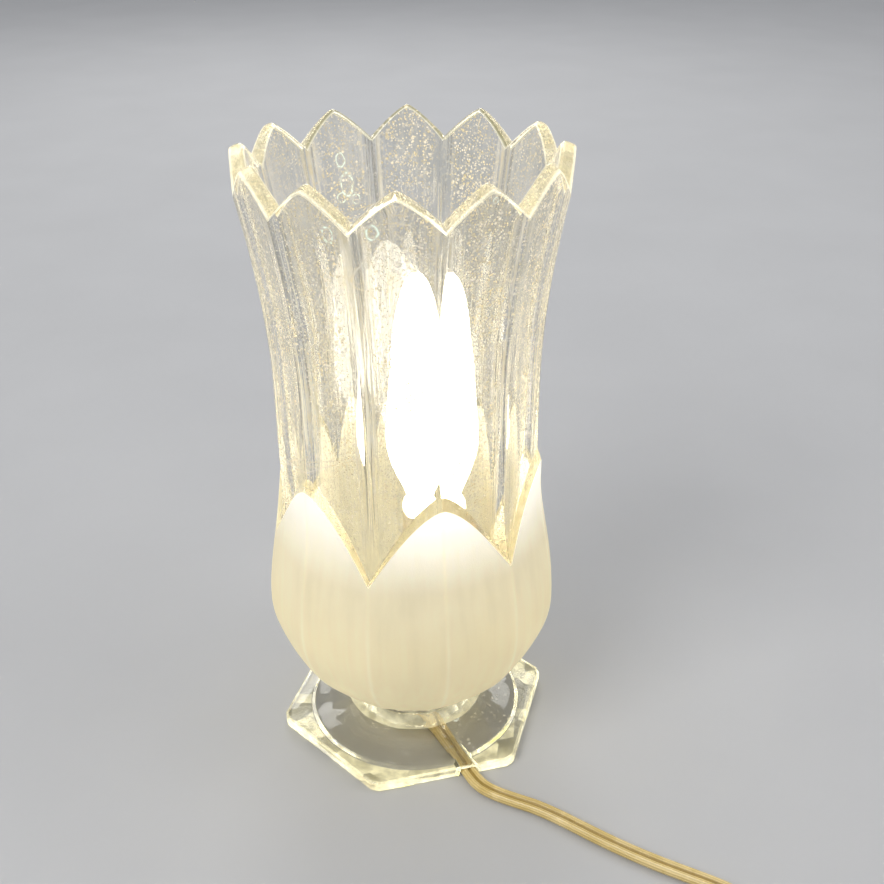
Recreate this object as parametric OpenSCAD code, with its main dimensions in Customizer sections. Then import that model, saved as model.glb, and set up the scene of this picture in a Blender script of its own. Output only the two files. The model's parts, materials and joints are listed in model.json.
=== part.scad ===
// Table lamp: a pressed crystal vase on a six-sided foot, lit by a candle bulb that stands inside it.
// The origin is in the middle of the foot's underside, +Z is up and -Y is the front.
// Azimuths are counted from the front towards +X.

/* [Vase] */
// Height of the glass to the tips of its teeth
glass_h = 206; // [190:1:220]
// Distance from the axis to the middle of a flat panel at the rim
rim_r = 50; // [48:0.1:53]
// Distance from the axis to the middle of a flat panel at the waist
waist_r = 40.7; // [39:0.1:43]
// Height at which the waist starts to flare
flare_z = 135; // [125:1:145]
// How sharply the flare bends out, as a power
flare_power = 1.8; // [1.4:0.1:2.4]
// Depth of the notches between the teeth
tooth_h = 9.8; // [6:0.1:12]
// Roundness of a tooth's sides, as a power
tooth_power = 1.25; // [1:0.05:1.6]
// Thickness of the glass at the rim
rim_wall = 4.8; // [3.4:0.1:5.4]
// Thickness of the glass at the waist
waist_wall = 4.6; // [3.8:0.1:5.6]
// How far the rim's top falls towards its outer edge
rim_fall = 2.2; // [1:0.1:3]
// Height of the rounding on the rim's inner edge
rim_round = 0.8; // [0.5:0.1:1.6]
// Height at which the bore, straight below, opens out in a cone to the rim
bore_flare_z = 157; // [150:1:165]

/* [Bowl and petals] */
// Distance from the axis to a petal at the widest part of the bowl
bowl_r = 47.6; // [46:0.1:50]
// Height of the widest part of the bowl
bowl_z = 56; // [52:1:60]
// Depth of the bowl's rounding below its widest part
bowl_depth = 44; // [42:1:47]
// Height at which the bowl has drawn in to the waist
waist_z = 101; // [95:1:108]
// Height of a petal's tip
petal_tip_z = 108; // [104:1:114]
// Height of the notch between two petals
petal_notch_z = 82; // [78:1:88]
// Roundness of a petal's sides, as a power
petal_power = 1.45; // [1.1:0.05:1.8]
// How far a petal stands out of the panels
petal_t = 1.9; // [1.2:0.1:2.6]
// Height of the bevel along a petal's edge, at the tip
bevel_tip_h = 4.3; // [2:0.1:6]
// Height of the bevel in the notch between two petals
bevel_notch_h = 1.4; // [0.8:0.1:2]
// Height of the floor inside the vase
floor_z = 24; // [22:0.5:27]
// Radius of the rounding between floor and wall
floor_round = 16; // [12:1:18]
// Taper of the bore's straight part, in millimetres of radius for each millimetre of height
bore_draft = 0.02; // [0.01:0.005:0.03]

/* [Foot] */
// Distance from the axis to a flat side of the foot
foot_ap = 41.8; // [40:0.1:44]
// Height of the foot's upright edge
edge_h = 4; // [3.8:0.1:5]
// Height of the foot's top where it meets the collar
foot_h = 8; // [7.6:0.1:9]
// Hollow of each panel of the foot's top
foot_dip = 0.6; // [0.2:0.1:0.8]
// Cut across each corner of the foot, from the sharp corner inwards
corner_cut = 0.9; // [0.4:0.1:1.5]
// Radius where the foot's top meets the collar
collar_r = 23.5; // [22.5:0.1:25]
// Radius of the neck between foot and bowl
neck_r = 20.5; // [19.8:0.1:21.5]
// Radius of the round recess under the foot
recess_r = 37.3; // [36:0.1:38.5]
// Depth of the recess at its outer edge
recess_edge_h = 2.4; // [2:0.1:2.8]
// Depth of the recess beside the pocket
recess_h = 3.8; // [3.2:0.1:4.2]
// Radius of the pocket for the lower nut
pocket_r = 17; // [16:0.1:17.6]
// Depth of the pocket
pocket_h = 9.5; // [9:0.1:10.5]
// Azimuth of the ground notch where the cord leaves
notch_az = 12; // [10:1:13]
// Height of the notch
notch_h = 3; // [2.9:0.1:3.2]

/* [Stem and bracket] */
// Radius of the threaded nipple
nipple_r = 5.1; // [4.9:0.05:5.2]
// Radius of the nipple's bore
nipple_bore_r = 3.5; // [3.3:0.05:3.6]
// Thread that shows past the lowest nut
thread_below = 0.6; // [0.4:0.1:0.8]
// Thread that shows past the highest nut
thread_above = 1.6; // [1:0.1:2]
// Length of the nipple
nipple_l = 39.4; // [39:0.1:41]
// Width of a nut across its flats
nut_af = 14.3; // [13:0.1:15]
// Thickness of a nut
nut_t = 3.2; // [3:0.1:3.3]
// Radius of the washers
washer_r = 12; // [10:0.5:14]
// Thickness of a steel washer
washer_t = 1; // [0.8:0.1:1.1]
// Thickness of a rubber washer
rubber_t = 1.1; // [0.9:0.1:1.2]
// Thickness of the bracket strip
strip_t = 1.2; // [1:0.1:1.4]
// Width of the bracket strip
strip_w = 13; // [12:0.5:13.5]

/* [Socket] */
// How far the socket stands off the lamp's axis, towards +X
socket_x = 6.5; // [5:0.1:8]
// Height of the socket's lower end above the nipple's upper end
socket_rise = 7; // [6.8:0.1:9]
// Length of the socket
socket_l = 34; // [33:0.5:36]
// Radius of the socket
socket_r = 10; // [9.5:0.1:11]
// Thickness of the socket's solid base
socket_base_t = 8; // [7:0.5:9]
// Inner radius of the screw shell
shell_r = 6.2; // [6.1:0.05:6.4]
// Thickness of the screw shell
shell_t = 0.4; // [0.3:0.05:0.5]
// Length of the screw shell
shell_l = 17; // [15:0.5:19]
// Depth of the flats for the terminals, from the socket's side
flat_d = 1.8; // [1.4:0.1:2]
// Height of the contact's top above the socket's base
contact_h = 7.7; // [7:0.1:8.4]
// Height of a terminal screw above the socket's lower end
terminal_h = 4.5; // [4:0.1:5]
// Radius of a terminal screw
screw_r = 1.4; // [1.2:0.1:1.5]
// Radius of a terminal screw's head
head_r = 2.4; // [2:0.1:2.6]

/* [Bulb] */
// Length of the bulb
bulb_l = 101; // [96:1:104]
// Largest radius of the bulb
bulb_r = 17.4; // [15:0.1:18.5]
// Radius of the bulb's neck
bulb_neck_r = 5.7; // [5.4:0.05:5.8]
// Height of the bulb's widest part above its lowest point
bulb_wide_h = 45; // [43:1:50]
// Thickness of the bulb's glass
bulb_wall = 0.8; // [0.6:0.1:1]
// Radius of the cap's thread
cap_r = 5.9; // [5.7:0.05:5.95]
// Length of the cap
cap_l = 14.5; // [14:0.5:16]
// Pitch of the cap's thread
cap_pitch = 2.54; // [2.4:0.01:2.6]

/* [Cord] */
// Width of the flat twin cord
cord_w = 5.4; // [5:0.1:5.6]
// Thickness of the cord
cord_t = 2.7; // [2.5:0.1:2.75]
// Gap beside and above the cord in its notch
cord_gap = 0.3; // [0.2:0.05:0.5]
// Outer radius of the coil, to the middle of the cord
coil_r = 35.6; // [34:0.1:37]
// Turns in each of the coil's two layers
coil_turns = 4; // [3:1:5]
// Step of the coil's spiral for each turn
coil_step = 3.4; // [3.3:0.05:3.6]
// Step between the coil's layers
coil_rise = 6.2; // [6.1:0.05:6.5]

/* [Cord switch] */
// Length of the switch
switch_l = 46; // [44:1:50]
// Width of the switch at its middle
switch_w = 20; // [18:1:21]
// Height of the switch
switch_h = 15; // [14:0.5:17]
// Thickness of the switch's walls
switch_wall = 1.6; // [1.4:0.1:2]
// Radius of the curve along the switch's sides
switch_side_r = 60; // [50:1:80]
// Radius of the thumb wheel
wheel_r = 11.6; // [11.2:0.1:12]
// Thickness of the thumb wheel
wheel_t = 4.4; // [4:0.1:4.8]
// Number of grooves round the thumb wheel
wheel_grooves = 20; // [12:1:24]
// Distance of a case screw from the switch's end
case_screw_in = 6.4; // [6:0.1:6.6]
// Radius of the wheel's pin
pin_r = 1.5; // [1.3:0.1:1.8]

/* [Plug] */
// Length of the plug's body
plug_l = 26; // [24:1:30]
// Width of the plug's body
plug_w = 25; // [22:1:27]
// Height of the plug's body
plug_h = 15.6; // [14:0.1:15.8]
// Length of the tapered strain relief
relief_l = 20; // [20:1:24]
// Depth of a blade's seat in the body
blade_in = 16; // [12:1:18]
// Distance between the blades
blade_gap = 12.7; // [12.7:0.1:12.8]
// Width of the narrow blade
blade_w = 6.35; // [6.3:0.05:6.4]
// Width of the wide blade
wide_blade_w = 7.9; // [7.8:0.1:8]
// Thickness of a blade
blade_t = 1.5; // [1.4:0.1:1.6]
// Length of the blades outside the body
blade_l = 17; // [16:0.5:18]

/* [Hidden] */
// Running clearance round a thread or a screw
thread_gap = 0.05;
// Clearance between loose parts that move past each other
free_gap = 0.3;
PANELS = 12;
PETALS = 6;
panel_a = 360 / PANELS;
petal_a = 360 / PETALS;
edge_round = 0.6;
column_step = 5;
notch_half = asin((cord_w / 2 + cord_gap) / recess_r);
notch_side = 0.5;
half_w = cord_w / 2;
half_t = cord_t / 2;
notch_lo = notch_az - notch_half;
notch_hi = notch_az + notch_half;
hole_r = nipple_r + 0.6;
bowl_turn = asin(neck_r / bowl_r);
bowl_start_z = bowl_z - bowl_depth * cos(bowl_turn);
bulge = bowl_r - petal_t - waist_r;
petal_facet = 0.6;
neck_facet = 0.2;
waist_wall_z = 120;
corner_z = floor_z + floor_round;
nut_r = nut_af / 2 / cos(30);
upper_stack_z = floor_z + rubber_t + washer_t;
lower_stack_z = pocket_h - rubber_t - washer_t;
nipple_z = lower_stack_z - nut_t - thread_below;
shaft_top = nipple_z + nipple_l;
plate_z = shaft_top - thread_above - nut_t - strip_t;
socket_z = shaft_top + socket_rise;
shell_out_r = shell_r + shell_t;
body_bore_r = shell_out_r + thread_gap;
chamber_r = shell_r - 0.3;
socket_top = socket_z + socket_l;
socket_floor = socket_z + socket_base_t;
shell_z = socket_top - 0.6 - shell_l;
bulb_z = socket_floor + contact_h + free_gap;
bushing_lip = 1.4;
split_z = shaft_top + bushing_lip + 0.1;
split_r = 2.5;
strand_r = half_t - 0.1;
flat_y = socket_r - flat_d;
plate_t = 0.8;
leg_x = socket_x - flat_y - strip_t / 2;
strip_low_x = -(nut_r + 1.2);
terminal_z = socket_z + terminal_h;
bracket_screw_z = socket_z + 4;
neck_z = bulb_z + cap_l + 1.6;
envelope_l = bulb_z + bulb_l - neck_z;
wide_h = bulb_wide_h - cap_l - 1.6;
lead_low = neck_z + 18;
lead_top = neck_z + 36;
lead_out = 4.5;
lead_wire_r = 0.3;
cord_z = 1.4;
bend_r = 5.5;
coil_x = 14;
coil_y = -170;
coil_z = 2.75;
coil_high_z = coil_z + coil_rise;
ring_step = 15;
switch_x = 69.6;
switch_y = -163.6;
switch_a = -105;
switch_mid = switch_h / 2;
switch_curve_y = switch_side_r - switch_w / 2;
plug_x = -34;
plug_y = -163;
plug_z = plug_h / 2;
plug_a = 90;
screw_u = switch_l / 2 - case_screw_in;
leaf_x = wheel_r + 1.2;
chamber_u = leaf_x + 0.5;
chamber_h = 8.4;

// Route of the cord from the notch in the foot to the switch
ROUTE_RUN = [
    [8.5, -40, 1.4], [9.56, -45, 1.4], [11.3, -49.4, 1.4], [14.8, -53.6, 1.4], [19.6, -57.8, 1.4],
    [25.4, -62.6, 1.4], [31, -68.4, 1.4], [36.4, -74.8, 1.4], [41.8, -81.2, 1.4], [48, -88, 1.4],
    [54.6, -94.6, 1.4], [61.4, -100.8, 1.4], [67.6, -106.4, 1.4], [72.4, -111.6, 1.4], [75.6, -117.2, 1.8],
    [77.4, -123.2, 3.2], [77.9, -129.4, 5.2], [77.1, -135.5, 7], [75.9, -140.2, 7.5], [74.9, -143.8, 7.5]
];
// Route of the cord from the switch to the coil
ROUTE_LINK = [
    [64.3, -183.4, 7.5], [63.1, -187.8, 7.5], [60.7, -193.6, 6.6], [56.9, -198.6, 5.2], [51.9, -202.4, 4],
    [46.1, -204.8, 3.2], [39.9, -205.6, 2.75], [33, -205.6, 2.75], [26, -205.6, 2.75], [19.4, -205.6, 2.75]
];
ROLLS_LINK = [0, 0, 18, 38, 58, 76, 90, 90, 90, 90];
// Route of the cord from the coil to the plug
ROUTE_TAIL = [
    [8.6, -205.6, 8.95], [3.2, -205.6, 8.95], [-2.5, -205.6, 8.3], [-8.2, -205.6, 6.9], [-14.7, -204.7, 5],
    [-21, -202.1, 3.5], [-26.4, -198, 2.8], [-30.5, -192.6, 2.9], [-33.1, -186.3, 3.6], [-34, -179.6, 5],
    [-34, -173.4, 6.8], [-34, -168.4, 7.8], [-34, -163, 7.8]
];
ROLLS_TAIL = [90, 90, 90, 90, 90, 90, 86, 74, 56, 34, 14, 0, 0];

// Value a share t of the way from a to b
function mix(a, b, t) = a + (b - a) * t;
function unit(v) = v / norm(v);
// Angle from the middle of the nearest flat panel
function panel_turn(a) = abs((a % panel_a) - panel_a / 2);
// Angle from the middle of the nearest petal, which is also the middle of a side of the foot
function petal_turn(a) = abs(((a + petal_a / 2) % petal_a) - petal_a / 2);
// How much further out a panel is at this azimuth than at its middle
function facet(a, share) = 1 + share * (1 / cos(panel_turn(a)) - 1);
// Distance to the foot's outline, with its corners cut
function foot_out(a, ap) = min(ap / cos(petal_turn(a)), ap / cos(petal_a / 2) - corner_cut);
function rim_z(a) = glass_h - tooth_h * pow(panel_turn(a) / (panel_a / 2), tooth_power);
function bevel_h(a) = mix(bevel_tip_h, bevel_notch_h, petal_turn(a) / (petal_a / 2));
function petal_z(a) = mix(petal_tip_z, petal_notch_z, pow(petal_turn(a) / (petal_a / 2), petal_power));
// Panel radius at a height: the waist, with the bowl's bulge below and the flare above
function bowl_share(z) = z > waist_z ? 0 : (1 + cos(180 * (z - bowl_z) / (waist_z - bowl_z))) / 2;
function flare_share(z) = z < flare_z ? 0 : pow((z - flare_z) / (glass_h - flare_z), flare_power);
function panel_r(z) = waist_r + bulge * bowl_share(z) + (rim_r - waist_r) * flare_share(z);
function straight_bore_r(z) = waist_r - waist_wall + bore_draft * (z - waist_wall_z);
function bore_r(z) = z > bore_flare_z
    ? mix(straight_bore_r(bore_flare_z), rim_r - rim_wall, (z - bore_flare_z) / (glass_h - bore_flare_z))
    : straight_bore_r(z);
function in_notch(a) = a >= notch_lo && a <= notch_hi;
// A height under the foot, lifted to the notch's top where the cord passes
function under_z(a, z) = in_notch(a) ? max(z, notch_h) : z;

// The cut through the glass at one azimuth, as radius and height, going round the section once
function foot_under(a) = [
    [hole_r, pocket_h],
    [pocket_r, pocket_h],
    [pocket_r + 1, recess_h],
    [mix(pocket_r, recess_r, 0.55), mix(recess_h, recess_edge_h, 0.5)],
    [recess_r - 1, under_z(a, recess_edge_h)],
    [recess_r, under_z(a, 0)],
    [foot_out(a, foot_ap) - 0.8, under_z(a, 0)],
    [foot_out(a, foot_ap), under_z(a, 0.4) + 0.3],
    [foot_out(a, foot_ap), edge_h - edge_round / 2]
];
function foot_top(a) = [for (t = [0, 0.22, 0.48, 0.76])
    let (hollow = foot_dip * (1 - pow(petal_turn(a) / (petal_a / 2), 2)) * sin(180 * t))
    [mix(foot_out(a, foot_ap) - edge_round, collar_r, t), mix(edge_h, foot_h, pow(t, 1.3)) - hollow]];
function neck(a) = [
    [collar_r * facet(a, 0.5), foot_h],
    [mix(collar_r, neck_r, 0.55) * facet(a, 1), foot_h + 1],
    [neck_r * facet(a, 1), mix(foot_h, bowl_start_z, 0.4)],
    [neck_r * facet(a, 1), mix(foot_h, bowl_start_z, 0.75)]
];
function bowl(a) = [for (j = [0:8])
    let (t = mix(bowl_turn, 90, j / 8))
    [bowl_r * sin(t) * facet(a, mix(neck_facet, petal_facet, j / 8)), bowl_z - bowl_depth * cos(t)]];
function petals(a) = [for (j = [1:5])
    let (z = mix(bowl_z, petal_z(a), j / 5))
    [(panel_r(z) + petal_t) * facet(a, petal_facet), z]];
function flutes(a) = [for (j = [0:11])
    let (z = mix(petal_z(a) + bevel_h(a), rim_z(a) - rim_fall, j / 11))
    [panel_r(z) * facet(a, 1), z]];
function rim(a) =
    let (z = rim_z(a), out = panel_r(z) * facet(a, 1), in = bore_r(z))
    [[mix(out, in, 0.08), z - 0.68 * rim_fall], [mix(out, in, 0.45), z - 0.2 * rim_fall],
     [mix(out, in, 0.82), z]];
function bore(a) = concat(
    [for (j = [0:3]) let (z = mix(rim_z(a) - rim_round, bore_flare_z, j / 3)) [bore_r(z), z]],
    [for (j = [1:5]) let (z = mix(bore_flare_z, corner_z, j / 5)) [bore_r(z), z]],
    [for (j = [1:4]) let (t = 90 * j / 4)
        [bore_r(corner_z) - floor_round * (1 - cos(t)), floor_z + floor_round * (1 - sin(t))]],
    [[hole_r, floor_z]]);
function section(a) = concat(foot_under(a), foot_top(a), neck(a), bowl(a), petals(a), flutes(a),
    rim(a), bore(a));

// Columns every few degrees, with two more at each side of the cord's notch
steps = [for (i = [0:360 / column_step - 1]) i * column_step];
AZIMUTHS = concat(
    [for (a = steps) if (a < notch_lo - notch_side) a], [notch_lo - notch_side, notch_lo],
    [for (a = steps) if (a > notch_lo && a < notch_hi) a], [notch_hi, notch_hi + notch_side],
    [for (a = steps) if (a > notch_hi + notch_side) a]);

// A closed skin over a grid of points that joins up both ways
module ring_skin(grid) {
    cols = len(grid);
    rows = len(grid[0]);
    points = [for (c = grid) for (p = c) p];
    faces = [for (i = [0:cols - 1]) for (j = [0:rows - 1])
        let (i2 = (i + 1) % cols, j2 = (j + 1) % rows)
        each [[i * rows + j, i2 * rows + j2, i2 * rows + j], [i * rows + j, i * rows + j2, i2 * rows + j2]]];
    polyhedron(points, faces);
}

module glass_body() {
    color([0.93, 0.93, 0.86, 0.45])
    ring_skin([for (a = AZIMUTHS) [for (p = section(a)) [p.x * sin(a), -p.x * cos(a), p.y]]]);
}

// A flat washer or a plain ring on the lamp's axis
module ring(z, t, out_r, in_r) {
    translate([0, 0, z])
    difference() {
        cylinder(r = out_r, h = t, $fn = 64);
        translate([0, 0, -1]) cylinder(r = in_r, h = t + 2, $fn = 64);
    }
}

module rubber_washers() {
    color([0.72, 0.6, 0.44]) {
        ring(floor_z, rubber_t, washer_r, nipple_r + 0.3);
        ring(pocket_h - rubber_t, rubber_t, washer_r, nipple_r + 0.3);
    }
}

module steel_washers() {
    color([0.75, 0.75, 0.77]) {
        ring(floor_z + rubber_t, washer_t, washer_r - 0.5, nipple_r + 0.2);
        ring(lower_stack_z, washer_t, washer_r - 0.5, nipple_r + 0.2);
    }
}

module hex_nut(z) {
    translate([0, 0, z])
    difference() {
        cylinder(r = nut_r, h = nut_t, $fn = 6);
        translate([0, 0, -1]) cylinder(r = nipple_r + thread_gap, h = nut_t + 2, $fn = 48);
    }
}

// Two nuts clamp the glass and two clamp the bracket's foot plate
module hex_nuts() {
    color([0.8, 0.68, 0.36])
    for (z = [lower_stack_z - nut_t, upper_stack_z, plate_z - nut_t, plate_z + strip_t]) hex_nut(z);
}

module nipple() {
    color([0.72, 0.72, 0.7])
    ring(nipple_z, nipple_l, nipple_r, nipple_bore_r);
}

// Plastic ring that keeps the nipple's upper edge off the cord
module nipple_bushing() {
    skirt = 3;
    color([0.9, 0.9, 0.88])
    rotate_extrude($fn = 64)
    polygon([[half_w + 0.25, shaft_top - skirt], [nipple_bore_r - thread_gap, shaft_top - skirt],
        [nipple_bore_r - thread_gap, shaft_top], [nipple_r, shaft_top], [nipple_r, shaft_top + 0.8],
        [nipple_r - 0.6, shaft_top + bushing_lip], [half_w + 0.65, shaft_top + bushing_lip],
        [half_w + 0.25, shaft_top + 1]]);
}

// Outline of a bent strip of even thickness along a line of points
function side_of(path, i) =
    let (before = i > 0 ? unit(path[i] - path[i - 1]) : unit(path[1] - path[0]),
         after = i < len(path) - 1 ? unit(path[i + 1] - path[i]) : before,
         bisector = unit(before + after))
    [-bisector.y, bisector.x] / (bisector * before);
function strip_outline(path, t) = concat(
    [for (i = [0:len(path) - 1]) path[i] + side_of(path, i) * t / 2],
    [for (i = [len(path) - 1:-1:0]) path[i] - side_of(path, i) * t / 2]);

// Steel strip: a round-ended foot plate on the nipple, and a leg with a jog that carries the socket
module bracket() {
    path = [[-strip_low_x, plate_z + strip_t / 2], [strip_low_x, plate_z + strip_t / 2],
        [strip_low_x, plate_z + 7.5], [leg_x, socket_z - 1.5], [leg_x, socket_z + 8.5]];
    color([0.78, 0.78, 0.8])
    difference() {
        intersection() {
            translate([0, strip_w / 2, 0])
            rotate([90, 0, 0])
            linear_extrude(strip_w)
            polygon(strip_outline(path, strip_t));
            union() {
                translate([0, 0, plate_z - 1]) cylinder(r = -strip_low_x, h = socket_top, $fn = 64);
                translate([-2 * strip_w, -strip_w, plate_z - 1]) cube([2 * strip_w, 2 * strip_w, socket_top]);
            }
        }
        translate([0, 0, plate_z - 1]) cylinder(r = nipple_r + 2 * thread_gap, h = strip_t + 2, $fn = 48);
        translate([leg_x - 2, 0, bracket_screw_z])
        rotate([0, 90, 0])
        cylinder(r = screw_r + thread_gap, h = 4, $fn = 32);
    }
}

// A round-headed screw that points along -Z, with its head on the plane z = 0
module screw(length) {
    translate([0, 0, -length]) cylinder(r = screw_r, h = length, $fn = 32);
    difference() {
        cylinder(r = head_r, h = 1.5, $fn = 32);
        translate([-head_r - 1, -0.35, 0.8]) cube([2 * head_r + 2, 0.7, 2]);
    }
}

module bracket_screw() {
    color([0.8, 0.68, 0.36])
    translate([leg_x - strip_t / 2, 0, bracket_screw_z])
    rotate([0, -90, 0])
    screw(5.5);
}

// Moulded insulating body: solid base, open bore above it, and flats for terminals and bracket
module socket_body() {
    color([0.9, 0.87, 0.78])
    difference() {
        translate([socket_x, 0, socket_z]) cylinder(r = socket_r, h = socket_l, $fn = 64);
        translate([socket_x, 0, socket_floor]) cylinder(r = chamber_r, h = socket_l, $fn = 64);
        translate([socket_x, 0, shell_z]) cylinder(r = body_bore_r, h = socket_l, $fn = 64);
        for (s = [-1, 1])
        translate([socket_x, s * (flat_y + 5), socket_z + 6]) cube([30, 10, 14], center = true);
        translate([socket_x - flat_y - 5, 0, socket_z + 5]) cube([10, 30, 12], center = true);
        for (s = [-1, 1])
        translate([socket_x, s * 6.2, terminal_z])
        rotate([90, 0, 0])
        cylinder(r = screw_r + thread_gap, h = 6.4, center = true, $fn = 32);
        translate([socket_x - flat_y + 2.4, 0, bracket_screw_z])
        rotate([0, 90, 0])
        cylinder(r = screw_r + thread_gap, h = 5.2, center = true, $fn = 32);
    }
}

// Brass sleeve that takes the bulb's thread, standing on the ledge in the socket's bore
module socket_screw_shell() {
    color([0.85, 0.72, 0.38])
    translate([socket_x, 0, shell_z])
    rotate_extrude($fn = 64)
    polygon([[shell_r, 0], [shell_out_r, 0], [shell_out_r, shell_l], [shell_r, shell_l]]);
}

// Brass tongue that springs up from the socket's floor to the bulb's contact
module socket_contact() {
    t = 0.5;
    w = 4;
    z = socket_floor + t / 2;
    tip_z = bulb_z - free_gap - t / 2;
    path = [[-3.5, z], [3.5, z], [3.9, z + 2.5], [0.8, tip_z], [-1.8, tip_z]];
    color([0.85, 0.72, 0.38])
    translate([socket_x, w / 2, 0])
    rotate([90, 0, 0])
    linear_extrude(w)
    polygon(strip_outline(path, t));
}

module socket_terminals() {
    w = 6;
    h = 8;
    color([0.85, 0.72, 0.38])
    for (s = [-1, 1])
    difference() {
        translate([socket_x, s * (flat_y + plate_t / 2), socket_z + 1 + h / 2])
        cube([w, plate_t, h], center = true);
        translate([socket_x, s * flat_y, terminal_z])
        rotate([90, 0, 0])
        cylinder(r = screw_r + thread_gap, h = 4, center = true, $fn = 32);
    }
}

module terminal_screws() {
    color([0.85, 0.72, 0.38])
    for (s = [-1, 1])
    translate([socket_x, s * (flat_y + plate_t), terminal_z])
    rotate([-s * 90, 0, 0])
    screw(5.4);
}

// Outline of the bulb's glass: a swelling from the neck, then a long taper to a blunt tip
function swell_r(h, wall) = mix(bulb_neck_r, bulb_r, (1 - cos(180 * h / wide_h)) / 2) - wall;
function taper_r(u, wall) = (bulb_r - wall) * (1 - 0.56 * pow(u, 1.25)) * sqrt(1 - pow(u, 8));
function envelope_side(wall) = concat(
    [for (j = [0:9]) let (h = wide_h * j / 10) [swell_r(h, wall), h]],
    [for (j = [0:12]) let (u = sin(90 * j / 12)) [taper_r(u, wall), mix(wide_h, envelope_l - wall, u)]]);

module bulb_envelope() {
    outer = envelope_side(0);
    inner = envelope_side(bulb_wall);
    color([1, 0.98, 0.92])
    translate([socket_x, 0, neck_z])
    rotate_extrude($fn = 64)
    polygon(concat(outer, [for (j = [len(inner) - 1:-1:0]) inner[j]]));
}

// Screw cap: a thin brass sleeve with its thread drawn as rings, and a skirt round the neck
module bulb_cap() {
    wall = 0.3;
    turns = 4;
    z0 = bulb_z + 2.4;
    z1 = z0 + turns * cap_pitch;
    wave = [for (j = [0:turns * 4]) [cap_r - 0.35 + 0.35 * cos(90 * j), mix(z0, z1, j / (turns * 4))]];
    color([0.85, 0.74, 0.42])
    translate([socket_x, 0, 0])
    rotate_extrude($fn = 64)
    polygon(concat(wave, [[cap_r - 0.1, neck_z], [cap_r - 0.1 - wall, neck_z], [cap_r - 1.1, z1],
        [cap_r - 1.1, z0]]));
}

module bulb_insulator() {
    color([0.08, 0.08, 0.09])
    translate([socket_x, 0, 0])
    rotate_extrude($fn = 64)
    polygon([[1.9, bulb_z + 0.5], [3.4, bulb_z + 0.5], [cap_r - 0.4, bulb_z + 2.35], [1.9, bulb_z + 2.35]]);
}

module bulb_contact() {
    color([0.72, 0.72, 0.7])
    translate([socket_x, 0, bulb_z])
    rotate_extrude($fn = 48)
    polygon([[0, 0], [1.2, 0], [1.8, 0.5], [1.8, 2.3], [0, 2.3]]);
}

// Glass mount that carries the leads: a flare sealed to the neck, and a pinched stem
module bulb_stem() {
    color([0.85, 0.9, 0.92])
    translate([socket_x, 0, neck_z + 0.5])
    rotate_extrude($fn = 48)
    polygon([[0, 0], [bulb_neck_r - bulb_wall - 0.15, 0], [2.6, 5], [2.2, 14], [1.5, 20], [0, 21]]);
}

// A round rod between two points
module rod(p, q, r) {
    d = q - p;
    translate(p)
    rotate([0, acos(d.z / norm(d)), atan2(d.y, d.x)])
    cylinder(r = r, h = norm(d), $fn = 16);
}

module bulb_leads() {
    color([0.75, 0.75, 0.76])
    for (s = [-1, 1])
    rod([socket_x + s * 2.4, 0, lead_low], [socket_x + s * lead_out, 0, lead_top], lead_wire_r);
}

// Filament: half a ring of fine wire from one lead to the other
module bulb_filament() {
    color([0.9, 0.6, 0.3])
    translate([socket_x, 0, lead_top])
    rotate([90, 0, 0])
    intersection() {
        rotate_extrude($fn = 64) translate([lead_out, 0]) circle(r = 0.35, $fn = 16);
        translate([-lead_out - 1, 0.15, -1]) cube([2 * lead_out + 2, lead_out + 2, 2]);
    }
}

// Twelve-point outline of the flat twin cord, two round strands joined by a web
lobe_turns = [-70, -25, 25, 70];
twin = concat(
    [for (a = lobe_turns) [half_w - half_t + half_t * cos(a), half_t * sin(a)]],
    [[0, 0.8 * half_t]],
    [for (a = lobe_turns) [-half_w + half_t - half_t * cos(a), -half_t * sin(a)]],
    [[0, -0.8 * half_t]]);
six = [[half_w, 0], [0.55 * half_w, half_t], [-0.55 * half_w, half_t], [-half_w, 0],
    [-0.55 * half_w, -half_t], [0.55 * half_w, -half_t]];

function tangent(path, i) =
    unit(path[min(i + 1, len(path) - 1)] - path[max(i - 1, 0)]);
// One ring of a swept cord: its width lies along w and its thickness square to it
function cord_ring(p, t, w, outline) =
    let (n = cross(t, w)) [for (s = outline) p + s.x * w + s.y * n];
// Width direction of a cord that is rolled about its own line, from flat to on edge
function rolled(t, roll) =
    let (level = unit(cross(t, [0, 0, 1])), up = cross(level, t)) level * cos(roll) + up * sin(roll);
function lying_rings(path, rolls, outline) = [for (i = [0:len(path) - 1])
    let (t = tangent(path, i)) cord_ring(path[i], t, rolled(t, rolls[i]), outline)];

// A closed skin over rings of points, with a fan at each end
module tube_skin(rings) {
    n = len(rings[0]);
    last = (len(rings) - 1) * n;
    points = [for (r = rings) for (p = r) p];
    sides = [for (i = [0:len(rings) - 2]) for (j = [0:n - 1])
        let (a = i * n + j, b = i * n + (j + 1) % n)
        each [[a, a + n, b + n], [a, b + n, b]]];
    ends = [for (j = [1:n - 2]) each [[0, j, j + 1], [last, last + j + 1, last + j]]];
    polyhedron(points, concat(sides, ends));
}

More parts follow.
